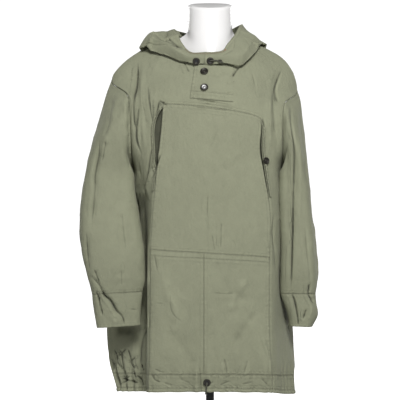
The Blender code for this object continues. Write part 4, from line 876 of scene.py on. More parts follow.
def shell(name, points, normals, fields, mask=None, closed=False, wall=WALL):
    """A closed wall of cloth on a grid of outer points."""
    count_across, count_along = points.shape[:2]
    if mask is None:
        mask = np.ones((count_across if closed else count_across - 1, count_along - 1), bool)
    across, along, used = cell_shifts(mask, closed)
    if closed:
        across, along, used = across[:-1], along[:-1], used[:-1]
    outer = draw_back(points, across, along, SEAM_GAP / 2, closed)
    inner = draw_back(points, across, along, SEAM_GAP / 2 + RIM_BEVEL, closed) - normals * wall
    count = int(used.sum())
    number = np.zeros(used.shape, int)
    number[used] = np.arange(count)
    i, j = np.nonzero(mask)
    k = (i + 1) % count_across
    quads = np.stack([number[i, j], number[k, j], number[k, j + 1], number[i, j + 1]], axis=1)
    turn = (np.cross(np.gradient(points, axis=0), np.gradient(points, axis=1)) * normals).sum()
    if turn < 0:
        quads = quads[:, ::-1]
    starts, ends = quads.ravel(), np.roll(quads, -1, axis=1).ravel()
    border = ~np.isin(starts * count + ends, ends * count + starts)
    rim = np.stack([ends[border], starts[border], starts[border] + count, ends[border] + count], axis=1)
    faces = np.concatenate([quads, quads[:, ::-1] + count, rim])
    made = add_piece(name + "_cloth", np.concatenate([outer[used], inner[used]]), faces.tolist(),
                     cotton(), 50, (name,))
    for key, values in fields.items():
        flat = np.concatenate([values[used], values[used]]).astype(np.float32).ravel()
        if values.ndim == 3:
            made.data.attributes.new(key, "FLOAT_VECTOR", "POINT").data.foreach_set("vector", flat)
        else:
            made.data.attributes.new(key, "FLOAT", "POINT").data.foreach_set("value", flat)
    return made


# ---- Stitches -----------------------------------------------------------------------------------

STITCH_PITCH, STITCH_LENGTH, THREAD_RADIUS = 0.0036, 0.0028, 0.00034
STITCH_AIM = 0.0008
# A stitch's rings: their places along it, their sizes and their heights.
STITCH_RINGS = ((-0.5, 0.5, -0.25), (-0.32, 1, 0.35), (0.32, 1, 0.35), (0.5, 0.5, -0.25))
STITCH_SIDES = 5
TWIN_ROWS = (0.002, 0.0086)
EDGE_ROW = (0.002,)
stitch_lines = []


def beside_column(points, normals, column, offset, low=0, high=None):
    """The line on a grid that runs at a distance beside one of its columns, and its normals."""
    line, facing = [], []
    for j in range(low, points.shape[1] if high is None else high + 1):
        run = points[:, j]
        place = np.concatenate([[0], np.cumsum(np.linalg.norm(np.diff(run, axis=0), axis=1))])
        target = np.clip(place[column] + offset, 0, place[-1])
        line.append([np.interp(target, place, run[:, k]) for k in range(3)])
        facing.append([np.interp(target, place, normals[:, j, k]) for k in range(3)])
    return np.array(line), unit(np.array(facing))


def beside_row(points, normals, row, offset, low=0, high=None):
    return beside_column(points.transpose(1, 0, 2), normals.transpose(1, 0, 2), row, offset, low, high)


def sew(line, facing):
    """Keeps a line of topstitches to be made at the end."""
    steps = np.linalg.norm(np.diff(line, axis=0), axis=1)
    place = np.concatenate([[0], np.cumsum(steps)])
    count = int(place[-1] / STITCH_PITCH)
    if count < 2:
        return
    middles = (np.arange(count) + 0.5) * place[-1] / count

    def at(places, rows):
        return np.stack([np.interp(places, place, rows[:, k]) for k in range(3)], axis=1)

    along = unit(at(middles + STITCH_AIM, line) - at(middles - STITCH_AIM, line))
    stitch_lines.append((at(middles, line), along, unit(at(middles, facing))))


def sew_beside(points, normals, columns=(), rows=(), offsets=TWIN_ROWS):
    """Topstitches beside lines of a grid: each is (number, which side of it, and where from and to)."""
    for offset in offsets:
        for number, side, *part in columns:
            sew(*beside_column(points, normals, number, side * offset, *part))
        for number, side, *part in rows:
            sew(*beside_row(points, normals, number, side * offset, *part))


def tube_faces(rings, sides):
    """The faces between rings of points, and the two ends."""
    faces = [(r * sides + n, r * sides + (n + 1) % sides, (r + 1) * sides + (n + 1) % sides,
              (r + 1) * sides + n) for r in range(rings - 1) for n in range(sides)]
    return faces + [tuple(range(sides))[::-1], tuple(range((rings - 1) * sides, rings * sides))]


def make_stitches(name, thread="olive_thread", size=1.0):
    """All the kept stitches as one mesh of short arched threads."""
    at, along, normal = (np.concatenate(parts) for parts in zip(*stitch_lines))
    stitch_lines.clear()
    side = unit(np.cross(along, normal))
    points = []
    for place, share, lift in STITCH_RINGS:
        middle = at + along * (place * STITCH_LENGTH) + normal * (lift * size * THREAD_RADIUS)
        for n in range(STITCH_SIDES):
            angle = 2 * math.pi * n / STITCH_SIDES
            points.append(middle + (side * math.cos(angle) + normal * math.sin(angle))
                          * (share * size * THREAD_RADIUS))
    points = np.stack(points, axis=1).reshape(-1, 3)
    pattern = tube_faces(len(STITCH_RINGS), STITCH_SIDES)
    faces = []
    for first in range(0, len(points), STITCH_SIDES * len(STITCH_RINGS)):
        faces += [[first + k for k in face] for face in pattern]
    return add_piece(name, points, faces, finish(thread), 60)


# ---- Materials ----------------------------------------------------------------------------------

def feed(value, socket):
    """Links a Value to a node's socket, or sets the socket to a plain number."""
    if isinstance(value, Value):
        socket.id_data.links.new(value.socket, socket)
    else:
        socket.default_value = value


class Value:
    """A number that a material works out at each point. Sums and products of it are new nodes."""

    def __init__(self, socket):
        self.socket = socket

    def node(self, operation, *others):
        made = self.socket.id_data.nodes.new("ShaderNodeMath")
        made.operation = operation
        for value, socket in zip((self,) + others, made.inputs):
            feed(value, socket)
        return Value(made.outputs[0])

    def __add__(self, other):
        return self.node("ADD", other)

    def __sub__(self, other):
        return self.node("SUBTRACT", other)

    def __mul__(self, other):
        return self.node("MULTIPLY", other)

    def ramp(self, low, start, high, end):
        """Start up to low, end from high on, and smooth between them."""
        made = self.socket.id_data.nodes.new("ShaderNodeMapRange")
        made.interpolation_type = "SMOOTHSTEP"
        for key, value in (("Value", self), ("From Min", low), ("From Max", high),
                           ("To Min", start), ("To Max", end)):
            feed(value, made.inputs[key])
        return Value(made.outputs["Result"])

    def bell(self, centre, width):
        """1 at the centre and falling off on both sides over the width."""
        return (self - centre).node("ABSOLUTE").ramp(0, 1, width, 0)


def new_material(name):
    """An empty node material with its shader."""
    made = bpy.data.materials.new(name)
    made.use_nodes = True
    return made, made.node_tree, made.node_tree.nodes["Principled BSDF"]


def object_place(tree):
    return tree.nodes.new("ShaderNodeTexCoord").outputs["Object"]


def noise_value(vector, scale, stretch=(1, 1, 1), detail=3.0, roughness=0.55):
    tree = vector.id_data
    mapping = tree.nodes.new("ShaderNodeMapping")
    mapping.inputs["Scale"].default_value = stretch
    tree.links.new(vector, mapping.inputs["Vector"])
    node = tree.nodes.new("ShaderNodeTexNoise")
    for key, value in (("Scale", scale), ("Detail", detail), ("Roughness", roughness)):
        node.inputs[key].default_value = value
    tree.links.new(mapping.outputs["Vector"], node.inputs["Vector"])
    return Value(node.outputs["Fac"])


def attribute(tree, key):
    node = tree.nodes.new("ShaderNodeAttribute")
    node.attribute_name = key
    return node


def attribute_parts(tree, key):
    parts = tree.nodes.new("ShaderNodeSeparateXYZ")
    tree.links.new(attribute(tree, key).outputs["Vector"], parts.inputs["Vector"])
    return [Value(socket) for socket in parts.outputs]


def tint(shader, colour, tone):
    """The shader's colour is the given one times the tone."""
    tree = shader.id_data
    scaled = tree.nodes.new("ShaderNodeVectorMath")
    scaled.operation = "SCALE"
    scaled.inputs[0].default_value = colour
    feed(tone, scaled.inputs["Scale"])
    tree.links.new(scaled.outputs["Vector"], shader.inputs["Base Color"])


def emboss(shader, height, distance):
    """Bumps of the given height, counted in distances."""
    tree = shader.id_data
    bump = tree.nodes.new("ShaderNodeBump")
    bump.inputs["Strength"].default_value = 1.0
    bump.inputs["Distance"].default_value = distance
    feed(height, bump.inputs["Height"])
    tree.links.new(bump.outputs["Normal"], shader.inputs["Normal"])


def seam_relief(tree, key):
    """(height in mm, tone) of a flat seam: a groove, a raised band, and puckers beside it."""
    across, along, pucker = attribute_parts(tree, key)
    groove = across.ramp(0, 1, 1.2, 0)
    band = across.ramp(9.0, 1, 11.5, 0)
    course = tree.nodes.new("ShaderNodeCombineXYZ")
    feed(across * 0.035, course.inputs["X"])
    feed(along * 0.135, course.inputs["Y"])
    wave = (noise_value(course.outputs["Vector"], 1.0, detail=1.0) - 0.5) * 3.2
    wave = wave * across.ramp(2, 1, 17, 0) * pucker
    lines = (across.bell(2.0, 1.0) + across.bell(8.6, 1.0)) * pucker.node("MINIMUM", 1.0)
    ridge = across.bell(4.2, 3.4) * pucker
    height = wave + band * 0.35 - groove * 0.8 - lines * 0.35
    # Tone: painted shade in the groove, the stitch lines and the puckers' hollows; the band beside the groove
    # and the puckers' tops are lighter, from wear and painted highlight.
    return height, ridge * 0.055 + wave * 0.10 - groove * 0.13 - lines * 0.085


def crease_lines(tree):
    """(height in mm, tone) of the sharp bottoms of the folds, with one lit flank."""
    away, sharp, _ = attribute_parts(tree, "crease")
    line, flank, other = (away.bell(centre, width) * sharp
                          for centre, width in ((0.0, 2.6), (4.5, 4.0), (-4.5, 3.5)))
    # Tone: painted shade along each fold's bottom and its far flank, and a painted highlight on its lit
    # flank.
    return flank * 0.5 - line * 1.3, flank * 0.12 - line * 0.46 - other * 0.06


def wrinkle_lines(place):
    """(height in mm, tone) of fine pressed wrinkles: thin lines that come and go."""
    patch = noise_value(place, 9.0, (1, 1, 0.7), 2.0).ramp(0.52, 0, 0.66, 1)
    line = noise_value(place, 17.0, (1, 1, 0.42), 3.0, 0.5).bell(0.5, 0.016) * patch
    # The tone paints shade into the lines.
    return line * -0.4, line * -0.045


COTTON_COLOUR = (0.262, 0.271, 0.186)
# How the tone changes with the height of the cloth's relief in mm: from, tone there, to, tone there.
# The troughs, and deepest the pocket bags, get painted shade; ridges get lighter, from wear and painted
# highlight.
RELIEF_SHADE_AND_WEAR_TONES = ((-9.0, -0.22, -1.0, 0.0), (-30.0, -0.5, -12.0, 0.0), (0.5, 0.0, 5.0, 0.07))
made_materials = {}


def cotton():
    """Washed olive cotton twill: a diagonal weave, cloudy fading and puckered seams, with painted shade in
    its troughs, seam grooves and crease lines, and ridges lighter from wear and painted highlight.
    """
    if "cotton" in made_materials:
        return made_materials["cotton"]
    made, tree, shader = new_material("washed_olive_cotton")
    cloth = attribute(tree, "cloth").outputs["Vector"]
    relief = Value(attribute(tree, "relief").outputs["Fac"])
    place = object_place(tree)
    clouds = noise_value(place, 13.0, (1, 1, 0.6), 4.0)
    fading = noise_value(place, 46.0, (1, 1, 0.8), 4.0, 0.65)
    slubs = noise_value(cloth, 0.55, (0.25, 1, 1), 2.0)
    crinkle = noise_value(place, 95.0, (1, 1, 0.55), 4.0, 0.6) - 0.5
    twill = tree.nodes.new("ShaderNodeTexWave")
    twill.bands_direction = "DIAGONAL"
    for key, value in (("Scale", 0.42), ("Distortion", 0.6), ("Detail", 1.0)):
        twill.inputs[key].default_value = value
    tree.links.new(cloth, twill.inputs["Vector"])

    tone = clouds * 0.22 + fading * 0.20 + slubs * 0.10 + 0.74
    # Painted shade in the troughs, and lighter ridges from wear and painted highlight.
    for stops in RELIEF_SHADE_AND_WEAR_TONES:
        tone = tone + relief.ramp(*stops)
    height = Value(twill.outputs["Fac"]) * 0.10 + crinkle * 2.4
    for height_part, tone_part in (seam_relief(tree, "seam_down"), seam_relief(tree, "seam_level"),
                                   crease_lines(tree), wrinkle_lines(place)):
        height, tone = height + height_part, tone + tone_part
    tint(shader, COTTON_COLOUR, tone)
    emboss(shader, height, MM)
    feed(fading * 0.12 + 0.80, shader.inputs["Roughness"])
    shader.inputs["Specular IOR Level"].default_value = 0.22
    shader.inputs["Sheen Weight"].default_value = 0.12
    shader.inputs["Sheen Roughness"].default_value = 0.55
    shader.inputs["Sheen Tint"].default_value = (0.75, 0.76, 0.66, 1)
    made_materials["cotton"] = made
    return made


Finish = namedtuple("Finish", "colour spread scale roughness bump metallic stretch coat",
                    defaults=(0.0, 1, 0.0))
FINISHES = {
    "olive_thread": Finish((0.26, 0.26, 0.18), 0.2, 900, 0.62, 0.0001),
    "dark_olive_thread": Finish((0.085, 0.085, 0.058), 0.3, 900, 0.70, 0.0001),
    "brown_thread": Finish((0.17, 0.115, 0.075), 0.3, 700, 0.70, 0.0001),
    "rust_thread": Finish((0.33, 0.10, 0.055), 0.2, 700, 0.70, 0.0001),
    "braided_cord": Finish((0.075, 0.075, 0.055), 0.35, 1100, 0.75, 0.0006, stretch=2),
    "dark_rim_metal": Finish((0.060, 0.057, 0.048), 0.30, 500, 0.40, 0.00004, metallic=0.85),
    # A lighter metal for the second button's face: a painted reflection.
    "worn_face_metal": Finish((0.30, 0.30, 0.295), 0.3, 700, 0.46, 0.0001, metallic=1.0),
    "gloss_white_form": Finish((0.905, 0.895, 0.885), 0.012, 9, 0.30, 0.00015, coat=0.35),
    # The stand's black paint, and in the eyelets' wells painted shade in their holes.
    "satin_black_paint": Finish((0.016, 0.016, 0.017), 0.2, 350, 0.38, 0.00006),
}
GLOSS_SPREAD = 0.16
COAT_ROUGHNESS = 0.12


def finish(name):
    """A material whose colour and gloss vary a little, with a fine grain."""
    if name in made_materials:
        return made_materials[name]
    row = FINISHES[name]
    made, tree, shader = new_material(name)
    grain = noise_value(object_place(tree), row.scale, (1, 1, row.stretch), 4.0)
    tint(shader, row.colour, grain * (2 * row.spread) + (1 - row.spread))
    feed(grain * GLOSS_SPREAD + (row.roughness - GLOSS_SPREAD / 2), shader.inputs["Roughness"])
    emboss(shader, grain, row.bump)
    shader.inputs["Metallic"].default_value = row.metallic
    shader.inputs["Coat Weight"].default_value = row.coat
    shader.inputs["Coat Roughness"].default_value = COAT_ROUGHNESS
    made_materials[name] = made
    return made


# ---- Front, bib and skirts ----------------------------------------------------------------------

CELL = 0.0042


def seam_rows(u):
    """The v of every row at u: bent to the bib's seams in the middle, even at the sides."""
    inner = np.clip(u, -1, 1)
    waist = WAIST_V + WAIST_SLOPE * inner
    bib = BIB_V + BIB_SLOPE * inner + BIB_CURVE * inner**2
    middle = np.concatenate([SIDE_ROWS[:4], [(SIDE_ROWS[3] + waist) / 2],
                             np.linspace(waist, bib, ROW_BIB - ROW_WAIST + 1),
                             np.linspace(bib, LEVEL["neck"], ROW_TOP - ROW_BIB + 1)[1:]])
    share = smoothstep(abs(u), 1.0, 3.0)
    return middle * (1 - share) + SIDE_ROWS * share


def divided(stops, counts):
    """Values from stop to stop with the given number of steps between each two."""
    runs = [np.linspace(low, high, count + 1)[:-1] for low, high, count in zip(stops, stops[1:], counts)]
    return np.append(np.concatenate(runs), stops[-1])


ROW_HEIGHTS = np.interp(SIDE_ROWS, np.arange(len(CENTRE)), [centre.front_z * MM for centre in CENTRE])
ROW_STEPS = np.maximum(2, np.round(np.diff(ROW_HEIGHTS) / CELL)).astype(int)
FINE_ROWS = divided(np.arange(len(SIDE_ROWS)), ROW_STEPS)
FINE_COLUMNS = divided((-3, -2, -1, CENTRE_SEAM_U, 1, 2, 3), (34, 24, 34, 42, 22, 30))


def row_number(row):
    return int(np.argmin(np.abs(FINE_ROWS - row)))


def column_number(u):
    return int(np.argmin(np.abs(FINE_COLUMNS - u)))


def mouth_profile(mouth, v):
    """How far a pocket's outer edge stands off the bib, in u."""
    share = np.clip((v - mouth.low_v) / (mouth.high_v - mouth.low_v), 0, 1)
    high = 2.0 if mouth.sign < 0 else 1.25
    return mouth.gape * (1.12 if mouth.sign < 0 else 1.0) * np.sin(math.pi * share**high) ** 0.8


def draped(points, crumple, gathers=0.0, closed=False, calm=1.0):
    """The body's points with their folds and wrinkles, with the new normals and the relief."""
    normals = grid_normals(points, closed)
    folded, creases = fold_height(points, normals, BODY)
    relief = (folded + crumple_height(points, crumple) + gathers) * calm
    moved = points + normals * relief[..., None]
    return moved, grid_normals(moved, closed), relief, creases


def armhole_calm(u, v):
    """Falls to nothing at the armholes' edges, where the sleeves are sewn in."""
    open_side = smoothstep(v, 6.8, 7.2) * (1 - smoothstep(v, 10.9, 11.2))
    return 1 - open_side * (1 - smoothstep(np.abs(np.abs(u) - 3), 0.0, 0.12))


def front_relief(points, normals, u, v):
    """Folds, wrinkles and gathers of the front: it is crisper at its sides and at the hem."""
    strength = 0.5 + 0.6 * smoothstep(np.abs(u), 0.9, 2.2) + 0.4 * (1 - smoothstep(v, 1.2, 3.0))
    strength = strength + 1.3 * smoothstep(-u, 1.3, 2.0) * (1 - smoothstep(v, 0.9, 2.4))
    folded, creases = fold_height(points, normals, BODY)
    relief = folded + crumple_height(points, strength) + gather_height(u, v)
    return relief * armhole_calm(u, v), creases


def front_points(opened):
    u = np.repeat(FINE_COLUMNS[:, None], len(FINE_ROWS), axis=1)
    v = np.array([np.interp(FINE_ROWS, np.arange(len(SIDE_ROWS)), seam_rows(one)) for one in FINE_COLUMNS])
    if opened:
        for mouth in POCKET_MOUTHS:
            side = (u * mouth.sign >= 1) & (u * mouth.sign < 2)
            bent = u + mouth.sign * mouth_profile(mouth, v) * (2 - np.abs(u))
            u = np.where(side, bent, u)
    points = body_surface(u, v)
    normals = grid_normals(points)
    relief, creases = front_relief(points, normals, u, v)
    moved = points + normals * relief[..., None]
    return moved, grid_normals(moved), relief, creases


BIB_TOP, WAIST = row_number(ROW_BIB), row_number(ROW_WAIST)
ARMPIT, CAP = row_number(ROW_ARMPIT), row_number(ROW_CAP)
LEFT_EDGE, RIGHT_EDGE, CENTRE_SEAM = column_number(-1), column_number(1), column_number(CENTRE_SEAM_U)
LAST_COLUMN, LAST_ROW = len(FINE_COLUMNS) - 1, len(FINE_ROWS) - 1
WAIST_TWIN = 3  # rows between the waist's two seams


def make_front():
    points, normals, relief, creases = front_points(True)
    mask = np.ones((LAST_COLUMN, LAST_ROW), bool)
    middles = (FINE_COLUMNS[1:] + FINE_COLUMNS[:-1]) / 2
    mask[np.abs(middles) < 1, :BIB_TOP] = False
    columns = [Seam(0, 0, LAST_ROW, 0.7), Seam(LAST_COLUMN, 0, LAST_ROW, 0.7),
               Seam(LEFT_EDGE, 0, BIB_TOP, 0.5), Seam(RIGHT_EDGE, 0, BIB_TOP, 0.5)]
    rows = [Seam(0, 0, LAST_COLUMN, 1.0), Seam(BIB_TOP, LEFT_EDGE, RIGHT_EDGE, 0.7),
            Seam(LAST_ROW, 0, LAST_COLUMN, 0.8)]
    shell("front", points, normals, cloth_fields(points, relief, columns, rows, creases), mask)
    sew_beside(points, normals, ((0, 1, ARMPIT, CAP), (LAST_COLUMN, -1, ARMPIT, CAP)),
               ((BIB_TOP, 1, LEFT_EDGE, RIGHT_EDGE), (0, 1, 0, LEFT_EDGE), (0, 1, RIGHT_EDGE, LAST_COLUMN)))


def make_front_panel(name, low, high, bottom, top, columns, rows):
    """A panel inside the front: its own part of the same grid, sewn along its edges."""
    points, normals, relief, creases = front_points(False)
    down = [Seam(column_number(u), bottom, top, pucker) for u, pucker in columns]
    level = [Seam(row, low, high, pucker) for row, pucker in rows]
    part = slice(low, high + 1), slice(bottom, top + 1)
    fields = cloth_fields(points, relief, down, level, creases)
    points, normals = points[part], normals[part]
    shell(name, points, normals, {key: values[part] for key, values in fields.items()})
    sew_beside(points, normals, ((0, 1), (high - low, -1)), ((0, 1),))
    sew_beside(points, normals, rows=((top - bottom, -1),), offsets=EDGE_ROW)


def make_panels():
    make_front_panel("bib", LEFT_EDGE, RIGHT_EDGE, WAIST, BIB_TOP, ((-1, 0.7), (1, 0.7)),
                     ((WAIST, 0.7), (BIB_TOP, 0.7)))
    for name, low, high in (("skirt_left", LEFT_EDGE, CENTRE_SEAM), ("skirt_right", CENTRE_SEAM, RIGHT_EDGE)):
        make_front_panel(name, low, high, 0, WAIST, ((-1, 0.7), (CENTRE_SEAM_U, 0.45), (1, 0.7)),
                         ((0, 1.2), (WAIST - WAIST_TWIN, 0.5), (WAIST, 0.6)))


def make_back():
    columns = divided((3, 4, 5, 6, 7), (44, 42, 42, 44))
    around = np.where(columns <= 5, columns, columns - 10)
    v = np.interp(FINE_ROWS, np.arange(len(SIDE_ROWS)), SIDE_ROWS)
    u, v = np.meshgrid(around, v, indexing="ij")
    nudged = np.where(np.abs(u) <= 3, np.sign(u) * BEHIND_SIDE, u)
    strength = 0.8 + 0.35 * (1 - smoothstep(v, 1.2, 3.0))
    points, normals, relief, creases = draped(body_surface(nudged, v), strength,
                                              gather_height(nudged, v), calm=armhole_calm(u, v))
    last = len(columns) - 1
    seams = [Seam(0, 0, LAST_ROW, 0.7), Seam(last, 0, LAST_ROW, 0.7)]
    rows = [Seam(0, 0, last, 1.2), Seam(LAST_ROW, 0, last, 0.8)]
    shell("back", points, normals, cloth_fields(points, relief, seams, rows, creases))
    sew_beside(points, normals, ((0, 1), (last, -1)), ((0, 1),))


CASING_FINE, CASING_ROWS = 560, 15
CHANNEL_V = 0.22
# The casing's seam allowance runs on behind the panels: (v, depth behind their outside).
ALLOWANCE = ((1.0, 0.0009), (1.012, 0.0022), (1.07, 0.0025), (1.15, 0.0026))


def make_casing():
    """The cord's tunnel round the hem: a roll of cloth over the cord, drawn into gathers."""
    columns = np.linspace(-5, 5, CASING_FINE + 1)[:-1]
    behind = np.array(ALLOWANCE)
    rows = np.concatenate([np.linspace(0, CASING_TOP_V, CASING_ROWS), behind[:, 0]])
    depth = np.concatenate([np.zeros(CASING_ROWS), behind[:, 1]])
    u, v = np.meshgrid(columns, rows, indexing="ij")
    roll = 0.0016 * np.sqrt(np.clip(1 - ((v - 0.10) / 0.13) ** 2, 0, 1))
    roll = roll - 0.0012 * np.exp(-((v - CHANNEL_V) / 0.03) ** 2)
    gathers = gather_height(u, v) * (1 + 0.25 * np.sin(17 * u) * (1 - v))
    strength = 0.9 + 0.25 * smoothstep(np.abs(u), 0.9, 2.2) + 1.3 * smoothstep(-u, 1.3, 2.0) * (u > -3)
    points, normals, relief, creases = draped(body_surface(u, v), strength, gathers + roll - depth, True)
    top, channel = CASING_ROWS - 1, int(np.argmin(np.abs(rows - CHANNEL_V)))
    seams = [Seam(row, 0, CASING_FINE, 1.3) for row in (top, channel)]
    shell("hem_casing", points, normals, cloth_fields(points, relief, (), seams, creases), closed=True)
    ring, facing = np.concatenate([points, points[:1]]), np.concatenate([normals, normals[:1]])
    sew_beside(ring, facing, rows=((top, -1),), offsets=EDGE_ROW)
    sew_beside(ring, facing, rows=((channel, 1),), offsets=(0.001,))


# ---- Sleeves and cuffs --------------------------------------------------------------------------

SLEEVE_TURNS = 12  # fine columns to each armhole step
SLEEVE_FINE, CUFF_FINE, CUFF_TURNS = 150, 30, 120
SLEEVE_FADE = 4.0
# How far the front of a sleeve's inner side swings in before the body.
SLEEVE_FRONT_LAP = {-1: 0.018, 1: 0.022}
HEAD_OVERLAP_U = 0.17
HEAD_FORWARD = 0.014


def ring_points(rings, sign, turns, position, pressed=0.0):
    """Points of interpolated sleeve rings: turns 0 at the outer point, a quarter at the front. Where
    it is pressed, the front half is flatter, with a tighter turn at its edges."""
    rows = catmull(np.array(rings, float) * MM, np.asarray(position, float))
    out = np.stack([sign * rows[:, 0], rows[:, 4], rows[:, 1]], axis=-1)
    inn = np.stack([sign * rows[:, 2], rows[:, 4], rows[:, 3]], axis=-1)
    angle = 2 * math.pi * turns
    centre, half = (out + inn) / 2, (out - inn) / 2
    depth = np.stack([0 * rows[:, 5], rows[:, 5], 0 * rows[:, 5]], axis=-1)
    power = 2 + 1.3 * np.asarray(pressed) * (np.asarray(turns) < 0.5)[:, None]
    cosine, sine = np.cos(angle)[:, None], np.sin(angle)[:, None]
    wide = (np.abs(cosine) ** power + np.abs(sine) ** power) ** (-1 / power)
    return (centre[None] + (cosine * wide)[..., None] * half[None]
            - (sine * wide)[..., None] * depth[None])


def armhole_loop(sign):
    """The body's armhole from its top down the front and up the back. In front the sleeve's head laps
    over the body's edge."""
    down = np.linspace(11, 7, SLEEVE_STEPS * SLEEVE_TURNS // 2 + 1)
    lap = HEAD_OVERLAP_U * np.sqrt(np.sin(np.pi * (11 - down) / 4).clip(0))
    halves = []
    for station in (3.0 - lap, BEHIND_SIDE + 0 * lap):
        u = sign * station
        halves.append(body_surface(u, down) + surface_normal(body_surface, u, down) * SLEEVE_LAP)
    front, back = halves
    return np.concatenate([front[:-1], back[:0:-1]])


def make_tube(name, points, sign, crumple, ends):
    """A sleeve or cuff with its folds, held still where it is sewn on. Returns its closed grid."""
    normals = grid_normals(points, True) * sign
    folded, creases = fold_height(points, normals, LEFT if sign < 0 else RIGHT)
    relief = (folded + crumple_height(points, crumple)) * ends[None]
    moved = points + normals * relief[..., None]
    normals = grid_normals(moved, True) * sign
    around, last = moved.shape[0], moved.shape[1] - 1
    fields = cloth_fields(moved, relief, [Seam(around // 2, 0, last, 0.5)],
                          [Seam(0, 0, around, 0.5), Seam(last, 0, around, 0.8)], creases)
    shell(name, moved, normals, fields, closed=True)
    return np.concatenate([moved, moved[:1]]), np.concatenate([normals, normals[:1]])


def front_lap(sign, turns):
    return SLEEVE_FRONT_LAP[sign] * np.exp(-((turns - 0.39) / 0.075) ** 2)


def make_sleeve(name, rings, sign):
    loop = armhole_loop(sign)
    turns = np.arange(len(loop)) / len(loop)
    position = np.linspace(0, len(rings) - 1, SLEEVE_FINE)
    points = ring_points(rings, sign, turns, position, smoothstep(position, 0.5, 4.0)[None])
    first = ring_points(rings, sign, turns, np.array([0.0]))
    fade = 1 - smoothstep(position, 0, SLEEVE_FADE)
    points = points + (loop[:, None] - first) * fade[None, :, None]
    points[..., 0] -= sign * front_lap(sign, turns)[:, None] * smoothstep(position, 0.8, 3.0)[None]
    # The sleeve's head stands as far forward as the body it is sewn to.
    near = smoothstep(position, 0.0, 0.8) * (1 - smoothstep(position, 1.5, 4.0))
    points[..., 1] -= HEAD_FORWARD * np.exp(-(((turns - 0.17) / 0.13) ** 2))[:, None] * near[None]
    ends = 0.25 + 0.75 * smoothstep(position, 0, 0.8)
    ends[0] = 0
    ring, facing = make_tube(name, points, sign, 1.25, ends)
    sew_beside(ring, facing, rows=((SLEEVE_FINE - 1, -1),))


def make_cuff(name, rings, sign):
    turns = np.arange(CUFF_TURNS) / CUFF_TURNS
    position = np.linspace(0, len(rings) - 1, CUFF_FINE)
    points = ring_points(rings, sign, turns, position, np.ones((1, CUFF_FINE)))
    lap = front_lap(sign, turns)[:, None] * (1 - 0.8 * smoothstep(position, 0, len(rings) - 1))[None]
    points[..., 0] -= sign * lap
    ring, facing = make_tube(name, points, sign, 1.1, np.ones(CUFF_FINE))
    sew_beside(ring, facing, rows=((0, 1),), offsets=EDGE_ROW)
    sew_beside(ring, facing, rows=((CUFF_FINE - 1, -1),), offsets=(0.012,))


# ---- Hood ---------------------------------------------------------------------------------------

HOOD_PRESSED = 0.55  # how flat its cloth lies between the folds
HOOD_FRONT_LAP, HOOD_OVER = 0.0038, 0.0026  # the halves' front ends meet and lap
HOOD_FINE, HOOD_SECTION = 116, 62
NECK_THREAD_COLUMNS = 27
neck_lines = []


def hood_surface(rows, round_share, section):
    """round_share 0..1 from the front end to the back centre, section 0..1 from the seam to the rim."""
    table = np.array([[(0, 0, 0), row.under, row.fold, row.crest, row.rim] for row in rows]) * MM
    beyond = table[-2:-1] * (-1, 1, 1)
    position = np.asarray(round_share, float) * (len(rows) - 1)
    around = catmull(np.concatenate([table, beyond]), position)
    neck_u = np.interp(position, np.arange(len(rows)), [row.neck_u for row in rows])
    around[:, 0] = body_surface(neck_u, float(LEVEL["neck"]))
    around[:, 0, 2] += HOOD_LIFT
    place = np.asarray(section, float) * 4
    low = np.clip(np.floor(place).astype(int), 0, 3)
    t = (place - low)[None, :, None]
    pressed = around[:, low] * (1 - t) + around[:, low + 1] * t
    smooth = np.stack([catmull(sections, place) for sections in around])
    return smooth * (1 - HOOD_PRESSED) + pressed * HOOD_PRESSED


def lifted_clear(points, carriers, clearance):
    """Points that lie in or too near the carriers are moved out to the clearance, row by row."""
    moved = points.copy()
    for place in np.ndindex(points.shape[:2]):
        for tree in carriers:
            spot = Vector(moved[place])
            near, normal, _, _ = tree.find_nearest(spot)
            short = clearance[place[1]] - (spot - near).dot(normal)
            if short > 0 and (spot - near).length < HOOD_REACH:
                moved[place] = spot + normal * short
    return moved


def outside_tree(u, v):
    """A search tree of the body's outer points on a grid."""
    points = body_surface(u, v)
    across, along = points.shape[:2]
    faces = [(i * along + j, (i + 1) * along + j, (i + 1) * along + j + 1, i * along + j + 1)
             for i in range(across - 1) for j in range(along - 1)]
    return BVHTree.FromPolygons([Vector(point) for point in points.reshape(-1, 3)], faces)


def hood_normals(points, sign):
    across, along = np.gradient(points, axis=0), np.gradient(points, axis=1)
    return np.cross(along, across) * -sign


